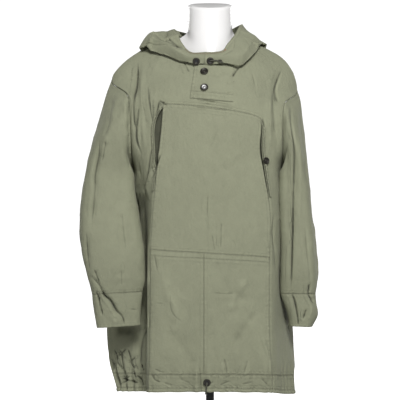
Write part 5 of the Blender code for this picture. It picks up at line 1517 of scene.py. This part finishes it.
def make_hood(name, rows, sign):
    section = np.linspace(0, 1, HOOD_SECTION)
    points = hood_surface(rows, np.linspace(0, 1, HOOD_FINE), section)
    upper = np.linspace(LEVEL["pocket"], LEVEL["neck"], 24)
    carriers = [outside_tree(*np.meshgrid(np.linspace(low, high, count), upper, indexing="ij"))
                for low, high, count in ((-3, 3, 41), (BEHIND_SIDE, 5, 15), (-5, -BEHIND_SIDE, 15))]
    clearance = HOOD_LIFT + (HOOD_CLEARANCE - HOOD_LIFT) * np.minimum(section / 0.12, 1)
    clearance[0] = -1
    points = lifted_clear(points, carriers, clearance)
    normals = unit(hood_normals(points, sign))
    front_end = 1 - smoothstep(np.linspace(0, 1, HOOD_FINE), 0.0, 0.09)
    points[..., 0] -= (sign * HOOD_FRONT_LAP * front_end)[:, None]
    if sign > 0:
        points[..., 1] -= (HOOD_OVER * front_end)[:, None]
    folded, creases = fold_height(points, normals, HOOD_L if sign < 0 else HOOD_R)
    relief = (folded + crumple_height(points, 1.2)) * smoothstep(section, 0, 0.10)[None]
    relief = relief * (0.35 + 0.65 * smoothstep(1 - section, 0, 0.15))
    points = points + normals * relief[..., None]
    points = lifted_clear(points, carriers, clearance - 0.0012)
    points[-1, :, 0] = sign * SEAM_GAP / 2
    normals = hood_normals(points, sign)
    normals[-1, :, 0] = 0
    normals = unit(normals)
    last_column, last_row = HOOD_FINE - 1, HOOD_SECTION - 1
    columns = [Seam(last_column, 0, last_row, 1.0), Seam(0, 0, last_row, 0.6)]
    level = [Seam(0, 0, last_column, 0.8), Seam(last_row, 0, last_column, 1.0)]
    shell(name, points, normals, cloth_fields(points, relief, columns, level, creases))
    sew_beside(points, normals, rows=((last_row, -1),), offsets=(0.002, 0.0105))
    sew_beside(points, normals, columns=((last_column, -1),))
    neck_lines.append(beside_row(points, normals, last_row, -0.0055, 0, NECK_THREAD_COLUMNS - 1))


# ---- Placket and pockets ------------------------------------------------------------------------

FIT_ROUNDS, FIT_STEP, FIT_SHARE = 12, 0.01, 0.8


def front_place(x, z):
    """(u, v) of the front's point that is seen at x, z."""
    heights = [centre.front_z * MM for centre in CENTRE]
    u, v = x / 0.15, np.interp(z, heights, np.arange(len(heights)))
    for _ in range(FIT_ROUNDS):
        here = body_surface(u, v)
        miss_x, miss_z = x - here[..., 0], z - here[..., 2]
        by_u = (body_surface(u + FIT_STEP, v) - here) / FIT_STEP
        above = np.minimum(v + FIT_STEP, LEVEL["neck"])
        by_v = (body_surface(u, above) - body_surface(u, above - FIT_STEP)) / FIT_STEP
        across = miss_x * by_v[..., 2] - by_v[..., 0] * miss_z
        up = by_u[..., 0] * miss_z - miss_x * by_u[..., 2]
        determinant = by_u[..., 0] * by_v[..., 2] - by_v[..., 0] * by_u[..., 2]
        u = np.clip(u + FIT_SHARE * across / determinant, -2.9, 2.9)
        v = np.clip(v + FIT_SHARE * up / determinant, 0, 12.98)
    return u, v


def on_front(u, v):
    """The front's outer points with their folds, and their normals."""
    points = body_surface(u, v)
    normals = surface_normal(body_surface, u, v)
    return points + normals * front_relief(points, normals, u, v)[0][..., None], normals


PLACKET_COLUMNS, PLACKET_ROWS = 52, 48
PLACKET_OVER, PLACKET_THIN = 0.0002, 0.0006  # it is pressed flat to the front
PLACKET_RIDGES = (0.05, 0.17, 0.28)
RIDGE_HEIGHT = 0.0015
PLACKET_REACH, PLACKET_SLANT = 0.010, 0.007  # up to under the hood's fold
PLACKET_LIFT = 0.0022


def make_placket():
    share_x, share_z = np.meshgrid(np.linspace(0, 1, PLACKET_COLUMNS), np.linspace(0, 1, PLACKET_ROWS),
                                   indexing="ij")
    x = PLACKET_LEFT + (PLACKET_RIGHT - PLACKET_LEFT) * share_x
    x = x + PLACKET_SKEW * (2 * share_z - 1) * (1 - share_x)
    top = PLACKET_TOP + PLACKET_REACH - PLACKET_SLANT * share_x
    z = PLACKET_FOOT - PLACKET_DROP * share_x * (1 - share_z) + (top - PLACKET_FOOT) * share_z
    points, normals = on_front(*front_place(x, z))
    foot = 1 - smoothstep(share_z, 0.12, 0.34)
    wave = 2 * math.pi * (9 * share_x + 0.4 * np.sin(9 * share_x)) + 3 * share_z
    ripple = 0.0005 * foot * (1 + np.sin(wave))
    for row in PLACKET_RIDGES:
        bend = row + 0.012 * np.sin(11 * share_x + 20 * row)
        ripple = ripple + RIDGE_HEIGHT * np.exp(-((share_z - bend) / 0.03) ** 2)
    relief = ripple * np.sin(math.pi * np.clip(share_x, 0, 1)) ** 0.4
    relief = relief + PLACKET_LIFT * smoothstep(share_z, 0.80, 1.0)
    points = points + normals * (PLACKET_OVER + PLACKET_THIN + relief)[..., None]
    normals = grid_normals(points)
    last_column, last_row = PLACKET_COLUMNS - 1, PLACKET_ROWS - 1
    line = int(0.22 * last_row)
    fields = cloth_fields(points, relief, [Seam(0, 0, last_row, 0.9)],
                          [Seam(0, 0, last_column, 0.5), Seam(line, 0, last_column, 0.5)])
    shell("placket", points, normals, fields, wall=PLACKET_THIN)
    sew_beside(points, normals, columns=((0, 1),))
    sew_beside(points, normals, rows=((0, 1),), offsets=EDGE_ROW)
    sew_beside(points, normals, rows=((line, 1),), offsets=(0.0, 0.004))


BAG_COLUMNS, BAG_ROWS = 26, 60
BAG_CLEAR = 0.0035
BAG_SHADE = 0.027  # the bag lies in the dark, so its tone is that of a deep fold
WELT_ROWS, WELT_COLUMNS = 124, 9
WELT_PUFF, WELT_RIB, WELT_SHADE = 0.0018, 0.0007, 0.006
WELT_CLEAR = 0.0006
WELT_STITCH = 0.0015
OVERCAST = 2  # the left welt's edge has a stitch across it at every second row


def make_pocket_bag(mouth, side):
    """The bag's cloth under a mouth, as far as it can be seen."""
    v_line = np.linspace(mouth.low_v + 0.1, mouth.high_v - 0.05, BAG_ROWS)
    share_u, share_v = np.linspace(0, 1, BAG_COLUMNS), np.linspace(0, 1, BAG_ROWS)
    high_u = 1 + mouth.gape + BAG_MARGIN_U
    u = mouth.sign * (BAG_LOW_U + (high_u - BAG_LOW_U) * share_u)[:, None] + 0 * v_line[None]
    v = 0 * u + v_line[None]
    hollow = np.sin(math.pi * share_u)[:, None] * np.sin(math.pi * share_v)[None]
    depth = WALL + LAID_ON + BAG_CLEAR + BAG_DEPTH * hollow**0.5 + BAG_LEAN * share_u[:, None]
    normal = surface_normal(body_surface, u, v)
    relief = crumple_height(body_surface(u, v), 0.7)
    points = body_surface(u, v) - normal * (depth - relief)[..., None]
    shell("pocket_bag_" + side, points, normal, cloth_fields(points, relief - BAG_SHADE), wall=BAG_WALL)


def make_welt(mouth, side):
    """The stitched strip on a mouth's outer edge."""
    v_line = np.linspace(mouth.low_v + 0.15, mouth.high_v - 0.12, WELT_ROWS)
    edge = 1 + mouth_profile(mouth, v_line)
    across = np.linspace(0, WELT_WIDTH_U[mouth.sign], WELT_COLUMNS)
    u = mouth.sign * (edge[None] + WELT_OFFSET_U + across[:, None])
    points, normal = on_front(u, 0 * u + v_line[None])
    share = np.linspace(0, 1, WELT_COLUMNS)[:, None]
    ribs = np.sin(np.linspace(0, 150, WELT_ROWS))[None] * share
    puff = WELT_PUFF * np.sin(math.pi * share) ** 0.6 + WELT_RIB * ribs
    points = points + normal * (LAID_ON + WELT_WALL + WELT_CLEAR + puff)[..., None]
    last = WELT_ROWS - 1
    seams = [Seam(0, 0, last, 0.9), Seam(WELT_COLUMNS - 1, 0, last, 1.2)]
    shell("pocket_welt_" + side, points, normal, cloth_fields(points, puff - WELT_SHADE, seams),
          wall=WELT_WALL)
    sew_beside(points, normal, columns=((0, 1),), offsets=(WELT_STITCH,))
    if mouth.sign < 0:
        for n in range(2, last - 1, OVERCAST):
            sew(points[1:-1, n] + normal[1:-1, n] * 0.0001, normal[1:-1, n])


# ---- Fastenings ---------------------------------------------------------------------------------

METAL_SIDES, WELL_SIDES, ROLL_SIDES = 56, 40, 20
METAL_SMOOTH = 35
# The rim and the dished face of a button, as shares of its radius and its height.
RIM_FOOT = ((0.62, 0), (0.86, 0))
RIM_ROLL = [(0.86 + 0.14 * math.sin(a), 0.5 - 0.5 * math.cos(a)) for a in np.linspace(0.2, math.pi, 9)]
RIM_INSIDE = ((0.74, 0.93), (0.66, 0.72), (0.62, 0.5))
BUTTON_RIM = (*RIM_FOOT, *RIM_ROLL, *RIM_INSIDE)
BUTTON_DISH = ((0, 0), (0.60, 0), (0.64, 0.55), (0.55, 0.46), (0.38, 0.38), (0.24, 0.36),
               (0.18, 0.46), (0.10, 0.54), (0, 0.56))
WELL_HALF = 0.0002
# How far the fastenings stand off the cloth under them.
BUTTON_SEAT, POCKET_BUTTON_SEAT, EYELET_SEAT = 0.0012, 0.0022, 0.0006


def turned(name, profile, material, sides, matrix, replaced=()):
    """A solid of revolution about its own Z, placed by a matrix: profile is (radius, height)."""
    points, faces, rings = [], [], []
    for radius, height in profile:
        first = len(points)
        if radius == 0:
            points.append((0, 0, height))
            rings.append([first] * sides)
            continue
        for n in range(sides):
            angle = 2 * math.pi * n / sides
            points.append((radius * math.cos(angle), radius * math.sin(angle), height))
        rings.append([first + n for n in range(sides)])
    pairs = list(zip(rings, rings[1:]))
    if profile[0][0] > 0 and profile[-1][0] > 0:
        pairs.append((rings[-1], rings[0]))
    for first, second in pairs:
        for n in range(sides):
            m = (n + 1) % sides
            faces.append(list(dict.fromkeys((first[n], first[m], second[m], second[n]))))
    placed = [tuple(matrix @ Vector(point)) for point in points]
    return add_piece(name, placed, faces, finish(material), METAL_SMOOTH, replaced)


def frame_at(point, normal, lift):
    """A matrix with its Z along the normal, at a lifted point."""
    normal = Vector(normal)
    turn = normal.to_track_quat("Z", "Y").to_matrix().to_4x4()
    return Matrix.Translation(Vector(point) + normal * lift) @ turn


def make_button(name, node, point, normal, lift, radius, face):
    """A cupped metal button: a dark rolled rim round a dished face with a small raised centre."""
    matrix = frame_at(point, normal, lift)
    rim, dish = ([(radius * out, BUTTON_HEIGHT * up) for out, up in profile]
                 for profile in (BUTTON_RIM, BUTTON_DISH))
    turned(name + "_rim", rim, "dark_rim_metal", METAL_SIDES, matrix, (node,))
    turned(name + "_face", dish, face, METAL_SIDES, matrix)


def make_eyelet(name, node, point, normal, lift):
    """A rolled metal ring with a black disc behind it, painted shade in its hole."""
    matrix = frame_at(point, normal, lift)
    half, middle = (EYELET_RADIUS - EYELET_HOLE) / 2, (EYELET_RADIUS + EYELET_HOLE) / 2
    profile = [(middle + half * math.cos(a), EYELET_HEIGHT / 2 + EYELET_HEIGHT / 2 * math.sin(a))
               for a in (2 * math.pi * n / ROLL_SIDES for n in range(ROLL_SIDES))]
    turned(name + "_ring", profile, "dark_rim_metal", METAL_SIDES, matrix, (node,))
    # The well is a black disc that paints the shade inside the hole.
    wide = EYELET_HOLE * 1.1
    well = [(0, -WELL_HALF), (wide, -WELL_HALF), (wide, WELL_HALF), (0, WELL_HALF)]
    turned(name + "_well", well, "satin_black_paint", WELL_SIDES, matrix)


def hood_place(rows, x, z):
    """The nearest point of the hood's outside to x, z as seen from the front, and its normal."""
    share, section = np.linspace(0, 0.3, 61), np.linspace(0.1, 1, 91)
    points = hood_surface(rows, share, section)
    miss = np.hypot(points[..., 0] - x, points[..., 2] - z)
    i, j = np.unravel_index(np.argmin(miss), miss.shape)
    i, j = max(1, min(i, len(share) - 2)), max(1, min(j, len(section) - 2))
    normal = unit(np.cross(points[i + 1, j] - points[i - 1, j], points[i, j + 1] - points[i, j - 1]))
    return points[i, j], normal * (-1 if normal[1] > 0 else 1)


def make_fastenings():
    """Buttons on the placket and the right pocket; eyelets in the hood's ends and the hem casing."""
    on_placket = LAID_ON + PLACKET_WALL + BUTTON_SEAT
    on_welt = LAID_ON + WELT_WALL + POCKET_BUTTON_SEAT
    for name, node, place, lift, radius, face in (
            ("button_1", "placket_button_1", (BUTTON_X, BUTTON_HEIGHTS[0]), on_placket, BUTTON_RADIUS,
             "dark_rim_metal"),
            # The second button's face is a lighter metal than the first's: a painted reflection.
            ("button_2", "placket_button_2", (BUTTON_X, BUTTON_HEIGHTS[1]), on_placket, BUTTON_RADIUS,
             "worn_face_metal"),
            ("button_pocket", "pocket_button", POCKET_BUTTON, on_welt, POCKET_BUTTON_RADIUS,
             "dark_rim_metal")):
        u, v = front_place(*np.array(place)[:, None])
        point, normal = body_surface(u, v)[0], surface_normal(body_surface, u, v)[0]
        make_button(name, node, point, normal, lift, radius, face)
    for side, rows, place in zip(("left", "right"), (HOOD_LEFT, HOOD_RIGHT), NECK_EYELETS):
        point, normal = hood_place(rows, *place)
        make_eyelet("eyelet_" + side, "neck_eyelet_" + side, point, normal, SEAM_GAP * 4 + EYELET_SEAT)
    u, v = front_place(*np.array(HEM_EYELET)[:, None])
    point, normal = casing_surface(u, v)[0], surface_normal(plain_surface, u, v)[0]
    make_eyelet("eyelet_hem", "hem_eyelet", point, normal, SEAM_GAP * 3 + EYELET_SEAT)


# ---- Cords and threads --------------------------------------------------------------------------

CORD_RINGS, CORD_SIDES = 60, 12
CORD_TWIST = 0.07
KNOT_PLACE = -16  # the ring of the hood cord that carries its knot
KNOT_TURNS, KNOT_RINGS = 1.5, 46
KNOT_WIDTH, KNOT_HEIGHT, KNOT_DEPTH, KNOT_FORWARD = 0.0038, 0.0028, 0.0012, 0.0016
NECK_THREAD_RADIUS, NECK_THREAD_LIFT = 0.0006, 0.0003
THREAD_END_RADIUS, THREAD_END_LIFT, THREAD_END_ROWS = 0.0009, 0.0008, 4


def make_tube_along(name, line, radii, material, replaced=()):
    """A closed round tube with its rings along a line."""
    tangent = unit(np.gradient(line, axis=0))
    side = unit(np.cross(tangent, np.array((0.0, -1.0, 0.0))))
    out = unit(np.cross(side, tangent))
    radii = np.broadcast_to(radii, len(line))[:, None]
    angles = [2 * math.pi * n / CORD_SIDES for n in range(CORD_SIDES)]
    points = np.stack([line + (side * math.cos(angle) + out * math.sin(angle)) * radii
                       for angle in angles], axis=1)
    faces = tube_faces(len(line), CORD_SIDES)
    return add_piece(name, points.reshape(-1, 3), faces, finish(material), 60, replaced)


def cord_line(route):
    return catmull(np.array(route, float) * MM, np.linspace(0, len(route) - 1, CORD_RINGS))


def make_cords():
    """The hood cord's short tail ends in a knot; the hem cord's cut end hangs out of its eyelet."""
    line = cord_line(HOOD_CORD_ROUTE)
    twist = 1 + CORD_TWIST * np.sin(np.arange(CORD_RINGS) * 2.2)
    hood = make_tube_along("hood_drawcord", line, CORD_RADIUS * twist, "braided_cord",
                           ("hood_cord",))
    x, y, z = line[KNOT_PLACE]
    turns = np.linspace(0, 2 * math.pi * KNOT_TURNS, KNOT_RINGS)
    knot = np.stack([x + KNOT_WIDTH * np.sin(turns) * (1 - 0.3 * np.cos(turns / KNOT_TURNS)),
                     y - KNOT_FORWARD - KNOT_DEPTH * np.cos(turns * 2),
                     z + KNOT_HEIGHT * np.cos(turns)], axis=1)
    tied = make_tube_along("hood_drawcord_knot", knot, CORD_RADIUS * 0.95, "braided_cord")
    line = cord_line(HEM_CORD_ROUTE)
    hem = make_tube_along("hem_drawcord", line, CORD_RADIUS, "braided_cord", ("hem_cord",))


def make_neck_thread():
    """A brown thread couched along the front of the hood's neck edge; its right end is rust red."""
    for name, (line, facing) in zip(("left", "right"), neck_lines):
        make_tube_along("neck_thread_" + name, line + facing * NECK_THREAD_LIFT, NECK_THREAD_RADIUS,
                        "brown_thread")
    end = (line + facing * THREAD_END_LIFT)[-THREAD_END_ROWS:]
    make_tube_along("neck_thread_end", end, THREAD_END_RADIUS, "rust_thread")


# ---- Dress form and stand -----------------------------------------------------------------------

FORM_COLUMNS = 160
FORM_FINE = 6  # fine rings to each ring of the solid
FORM_UNDER = 0.0010  # the shown form's shoulders lie this much deeper than the solid's
FORM_TOP = 0.94  # the top ring's size beside the neck's last one
FORM_CAPS = (0.93, 0.8, 0.6, 0.4, 0.2)


def form_ring(torso, turns_u):
    """A smooth closed ring with the given half sizes, at the body's u places."""
    quarter = np.where(np.abs(turns_u) <= 3, np.abs(turns_u) / 3, 1 + (np.abs(turns_u) - 3) / 2)
    angle = quarter * math.pi / 2
    forward = np.cos(angle)
    side = np.sign(turns_u) * np.sin(angle)
    y = np.where(forward > 0, forward * torso.front_y, -forward * torso.back_y)
    z = torso.side_z + np.where(forward > 0, forward * (torso.front_z - torso.side_z),
                                -forward * (torso.back_z - torso.side_z))
    return np.stack([side * torso.side_x, y, z], axis=-1) * MM


def make_dress_form():
    """The moulded torso and neck, closed below, with a flat top that tilts forward."""
    columns = np.linspace(-5, 5, FORM_COLUMNS + 1)[:-1]
    rings = [form_ring(torso, columns) for torso in TORSO]
    ridge = np.exp(-((np.abs(columns) - 3) / RIDGE_REACH) ** 2)
    for shoulder in SHOULDER_RINGS:
        depth = shoulder.inset + FORM_UNDER + OFF_RIDGE_INSET * (1 - ridge)
        v = np.full(FORM_COLUMNS, shoulder.v)
        normal = surface_normal(plain_surface, columns, v)
        rings.append(plain_surface(columns, v) - normal * depth[:, None])
    rings = np.array(rings + [form_ring(neck, columns) for neck in NECK])
    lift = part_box("dress_form")[1][2] - rings[-1, :, 2].max()
    across = rings[-1, :, :2]
    rings[-1, :, :2] = across.mean(axis=0) * (1 - FORM_TOP) + across * FORM_TOP
    rings[1:, :, 2] += lift
    body, top = rings[:-1], rings[-1]
    fine = catmull(body, np.linspace(0, len(body) - 1, FORM_FINE * (len(body) - 1) + 1))
    middle = top.mean(axis=0)
    caps = [middle + (top - middle) * share for share in FORM_CAPS]
    rings = np.array([*fine, top, *caps])
    points = np.concatenate([rings.reshape(-1, 3), rings[[0, -1]].mean(axis=1)])
    faces = tube_faces(len(rings), FORM_COLUMNS)[:-2]
    last, low, high = (len(rings) - 1) * FORM_COLUMNS, len(points) - 2, len(points) - 1
    for n in range(FORM_COLUMNS):
        m = (n + 1) % FORM_COLUMNS
        faces += [(m, n, low), (last + n, last + m, high)]
    return add_piece("form_shell", points, faces, finish("gloss_white_form"), 60, ("dress_form",))


def finish_stand():
    """The stand's solids keep their shape and get their paint."""
    for name in ("stand_pole", "stand_base"):
        for place in bpy.data.objects[name].material_slots:
            place.material = finish("satin_black_paint")


# ---- Studio -------------------------------------------------------------------------------------

FLOOR_REACH = 60.0
FLOOR_GREY, FLOOR_ROUGHNESS = 0.6, 0.9
FLOOR_GLOW = (0.35, 0.0, 0.95, 1.1)  # the paper's own light: from, strength there, to, strength there
ROOM_SEEN, ROOM_LIGHT = 1.1, 0.17
# A softbox: its place, what it points at, the side of its square and its power.
Softbox = namedtuple("Softbox", "name place target side power")
SOFTBOXES = (
    Softbox("key", (0.45, -3.35, 2.95), (0, 0, 0.62), 1.1, 146),
    Softbox("fill", (-2.2, -3.2, 1.2), (0, 0, 0.6), 1.5, 8),
    Softbox("back_left", (-2.0, 3.0, 1.0), (0, 0, 0.6), 1.6, 30),
    Softbox("back_right", (2.0, 3.0, 1.0), (0, 0, 0.6), 1.6, 30),
)


def make_camera(scene):
    lens = bpy.data.cameras.new("camera")
    lens.lens, lens.sensor_width = CAMERA_LENS, CAMERA_SENSOR
    lens.clip_end = 200
    camera = bpy.data.objects.new("camera", lens)
    camera.location = CAMERA_PLACE
    camera.rotation_euler = (math.pi / 2, 0, 0)
    scene.collection.objects.link(camera)
    scene.camera = camera


def camera_share(tree):
    """1 where the camera sees something directly, 0 where it only lights or is mirrored."""
    return Value(tree.nodes.new("ShaderNodeLightPath").outputs["Is Camera Ray"])


def white_paper():
    """White paper that runs into the white room some way from the object."""
    made, tree, shader = new_material("white_paper")
    shader.inputs["Base Color"].default_value = (FLOOR_GREY, FLOOR_GREY, FLOOR_GREY, 1)
    shader.inputs["Roughness"].default_value = FLOOR_ROUGHNESS
    length = tree.nodes.new("ShaderNodeVectorMath")
    length.operation = "LENGTH"
    tree.links.new(object_place(tree), length.inputs[0])
    glow = Value(length.outputs["Value"]).ramp(*FLOOR_GLOW)
    feed(glow * camera_share(tree), shader.inputs["Emission Strength"])
    shader.inputs["Emission Color"].default_value = (1, 1, 1, 1)
    return made


def make_floor(scene):
    mesh = bpy.data.meshes.new("floor")
    corners = ((-1, -1), (1, -1), (1, 1), (-1, 1))
    mesh.from_pydata([(x * FLOOR_REACH, y * FLOOR_REACH, 0) for x, y in corners], [], [(0, 1, 2, 3)])
    floor = bpy.data.objects.new("floor", mesh)
    scene.collection.objects.link(floor)
    mesh.materials.append(white_paper())


def make_room(scene):
    """A white room: the camera sees it brighter than the light it gives."""
    world = scene.world or bpy.data.worlds.new("world")
    scene.world = world
    world.use_nodes = True
    tree = world.node_tree
    tree.nodes.clear()
    background = tree.nodes.new("ShaderNodeBackground")
    background.inputs["Color"].default_value = (1, 1, 1, 1)
    strength = camera_share(tree) * (ROOM_SEEN - ROOM_LIGHT) + ROOM_LIGHT
    feed(strength, background.inputs["Strength"])
    output = tree.nodes.new("ShaderNodeOutputWorld")
    tree.links.new(background.outputs["Background"], output.inputs["Surface"])


def add_softbox(scene, row):
    light = bpy.data.lights.new(row.name, "AREA")
    light.shape = "RECTANGLE"
    light.size = light.size_y = row.side
    light.energy = row.power
    made = bpy.data.objects.new(row.name, light)
    made.location = row.place
    made.rotation_euler = (Vector(row.target) - Vector(row.place)).to_track_quat("-Z", "Y").to_euler()
    scene.collection.objects.link(made)


def make_studio():
    scene = bpy.context.scene
    scene.view_settings.view_transform = "Standard"
    make_camera(scene)
    make_floor(scene)
    make_room(scene)
    for row in SOFTBOXES:
        add_softbox(scene, row)


# ---- Cut sizes ----------------------------------------------------------------------------------

# Flat width and length of what shows of each piece's cut, in metres, and its area where the cut
# isn't a rectangle.
Cut = namedtuple("Cut", "piece width length area held rests_on")
CUTS = (
    Cut("front", 0.7, 0.95, 0.3227, "draped", ("dress_form",)),
    Cut("bib", 0.305, 0.365, 0.1033, "draped", ("dress_form",)),
    Cut("skirt_left", 0.148, 0.31, 0.0438, "hung", ("bib_cloth",)),
    Cut("skirt_right", 0.175, 0.305, 0.0514, "hung", ("bib_cloth",)),
    Cut("back", 0.62, 1, 0.4911, "draped", ("dress_form",)),
    Cut("hem_casing", 1.3, 0.056, None, "gathered", ("front_cloth", "back_cloth")),
    Cut("sleeve_left", 0.6, 0.55, 0.1994, "hung", ("front_cloth", "back_cloth")),
    Cut("sleeve_right", 0.58, 0.52, 0.1866, "hung", ("front_cloth", "back_cloth")),
    Cut("cuff_left", 0.325, 0.095, 0.0283, "hung", ("sleeve_left_cloth",)),
    Cut("cuff_right", 0.315, 0.093, 0.0274, "hung", ("sleeve_right_cloth",)),
    Cut("hood_left", 0.55, 0.46, 0.1221, "folded", ("front_cloth", "back_cloth")),
    Cut("hood_right", 0.55, 0.46, 0.1099, "folded", ("front_cloth", "back_cloth")),
    Cut("placket", 0.11, 0.1, 0.0103, "laid", ("front_cloth",)),
    Cut("pocket_bag_left", 0.064, 0.216, 0.0131, "hung", ("front_cloth",)),
    Cut("pocket_bag_right", 0.052, 0.195, 0.0094, "hung", ("front_cloth",)),
    Cut("pocket_welt_left", 0.01, 0.219, 0.0016, "laid", ("front_cloth",)),
    Cut("pocket_welt_right", 0.011, 0.196, 0.0017, "laid", ("front_cloth",)),
)


def declare_cuts():
    for cut in CUTS:
        piece = bpy.data.objects[cut.piece + "_cloth"]


def main():
    make_studio()
    make_cords()
    make_front()
    make_panels()
    make_back()
    make_casing()
    make_stitches("stitches_body")
    make_sleeve("sleeve_left", SLEEVE_LEFT, -1)
    make_sleeve("sleeve_right", SLEEVE_RIGHT, 1)
    make_cuff("cuff_left", CUFF_LEFT, -1)
    make_cuff("cuff_right", CUFF_RIGHT, 1)
    make_stitches("stitches_sleeves")
    make_hood("hood_left", HOOD_LEFT, -1)
    make_hood("hood_right", HOOD_RIGHT, 1)
    make_neck_thread()
    make_placket()
    make_stitches("stitches_trim")
    for mouth, side in zip(POCKET_MOUTHS, ("left", "right")):
        make_pocket_bag(mouth, side)
        make_welt(mouth, side)
    make_stitches("stitches_pockets", "dark_olive_thread", 1.9)
    make_fastenings()
    make_dress_form()
    finish_stand()
    declare_cuts()


main()
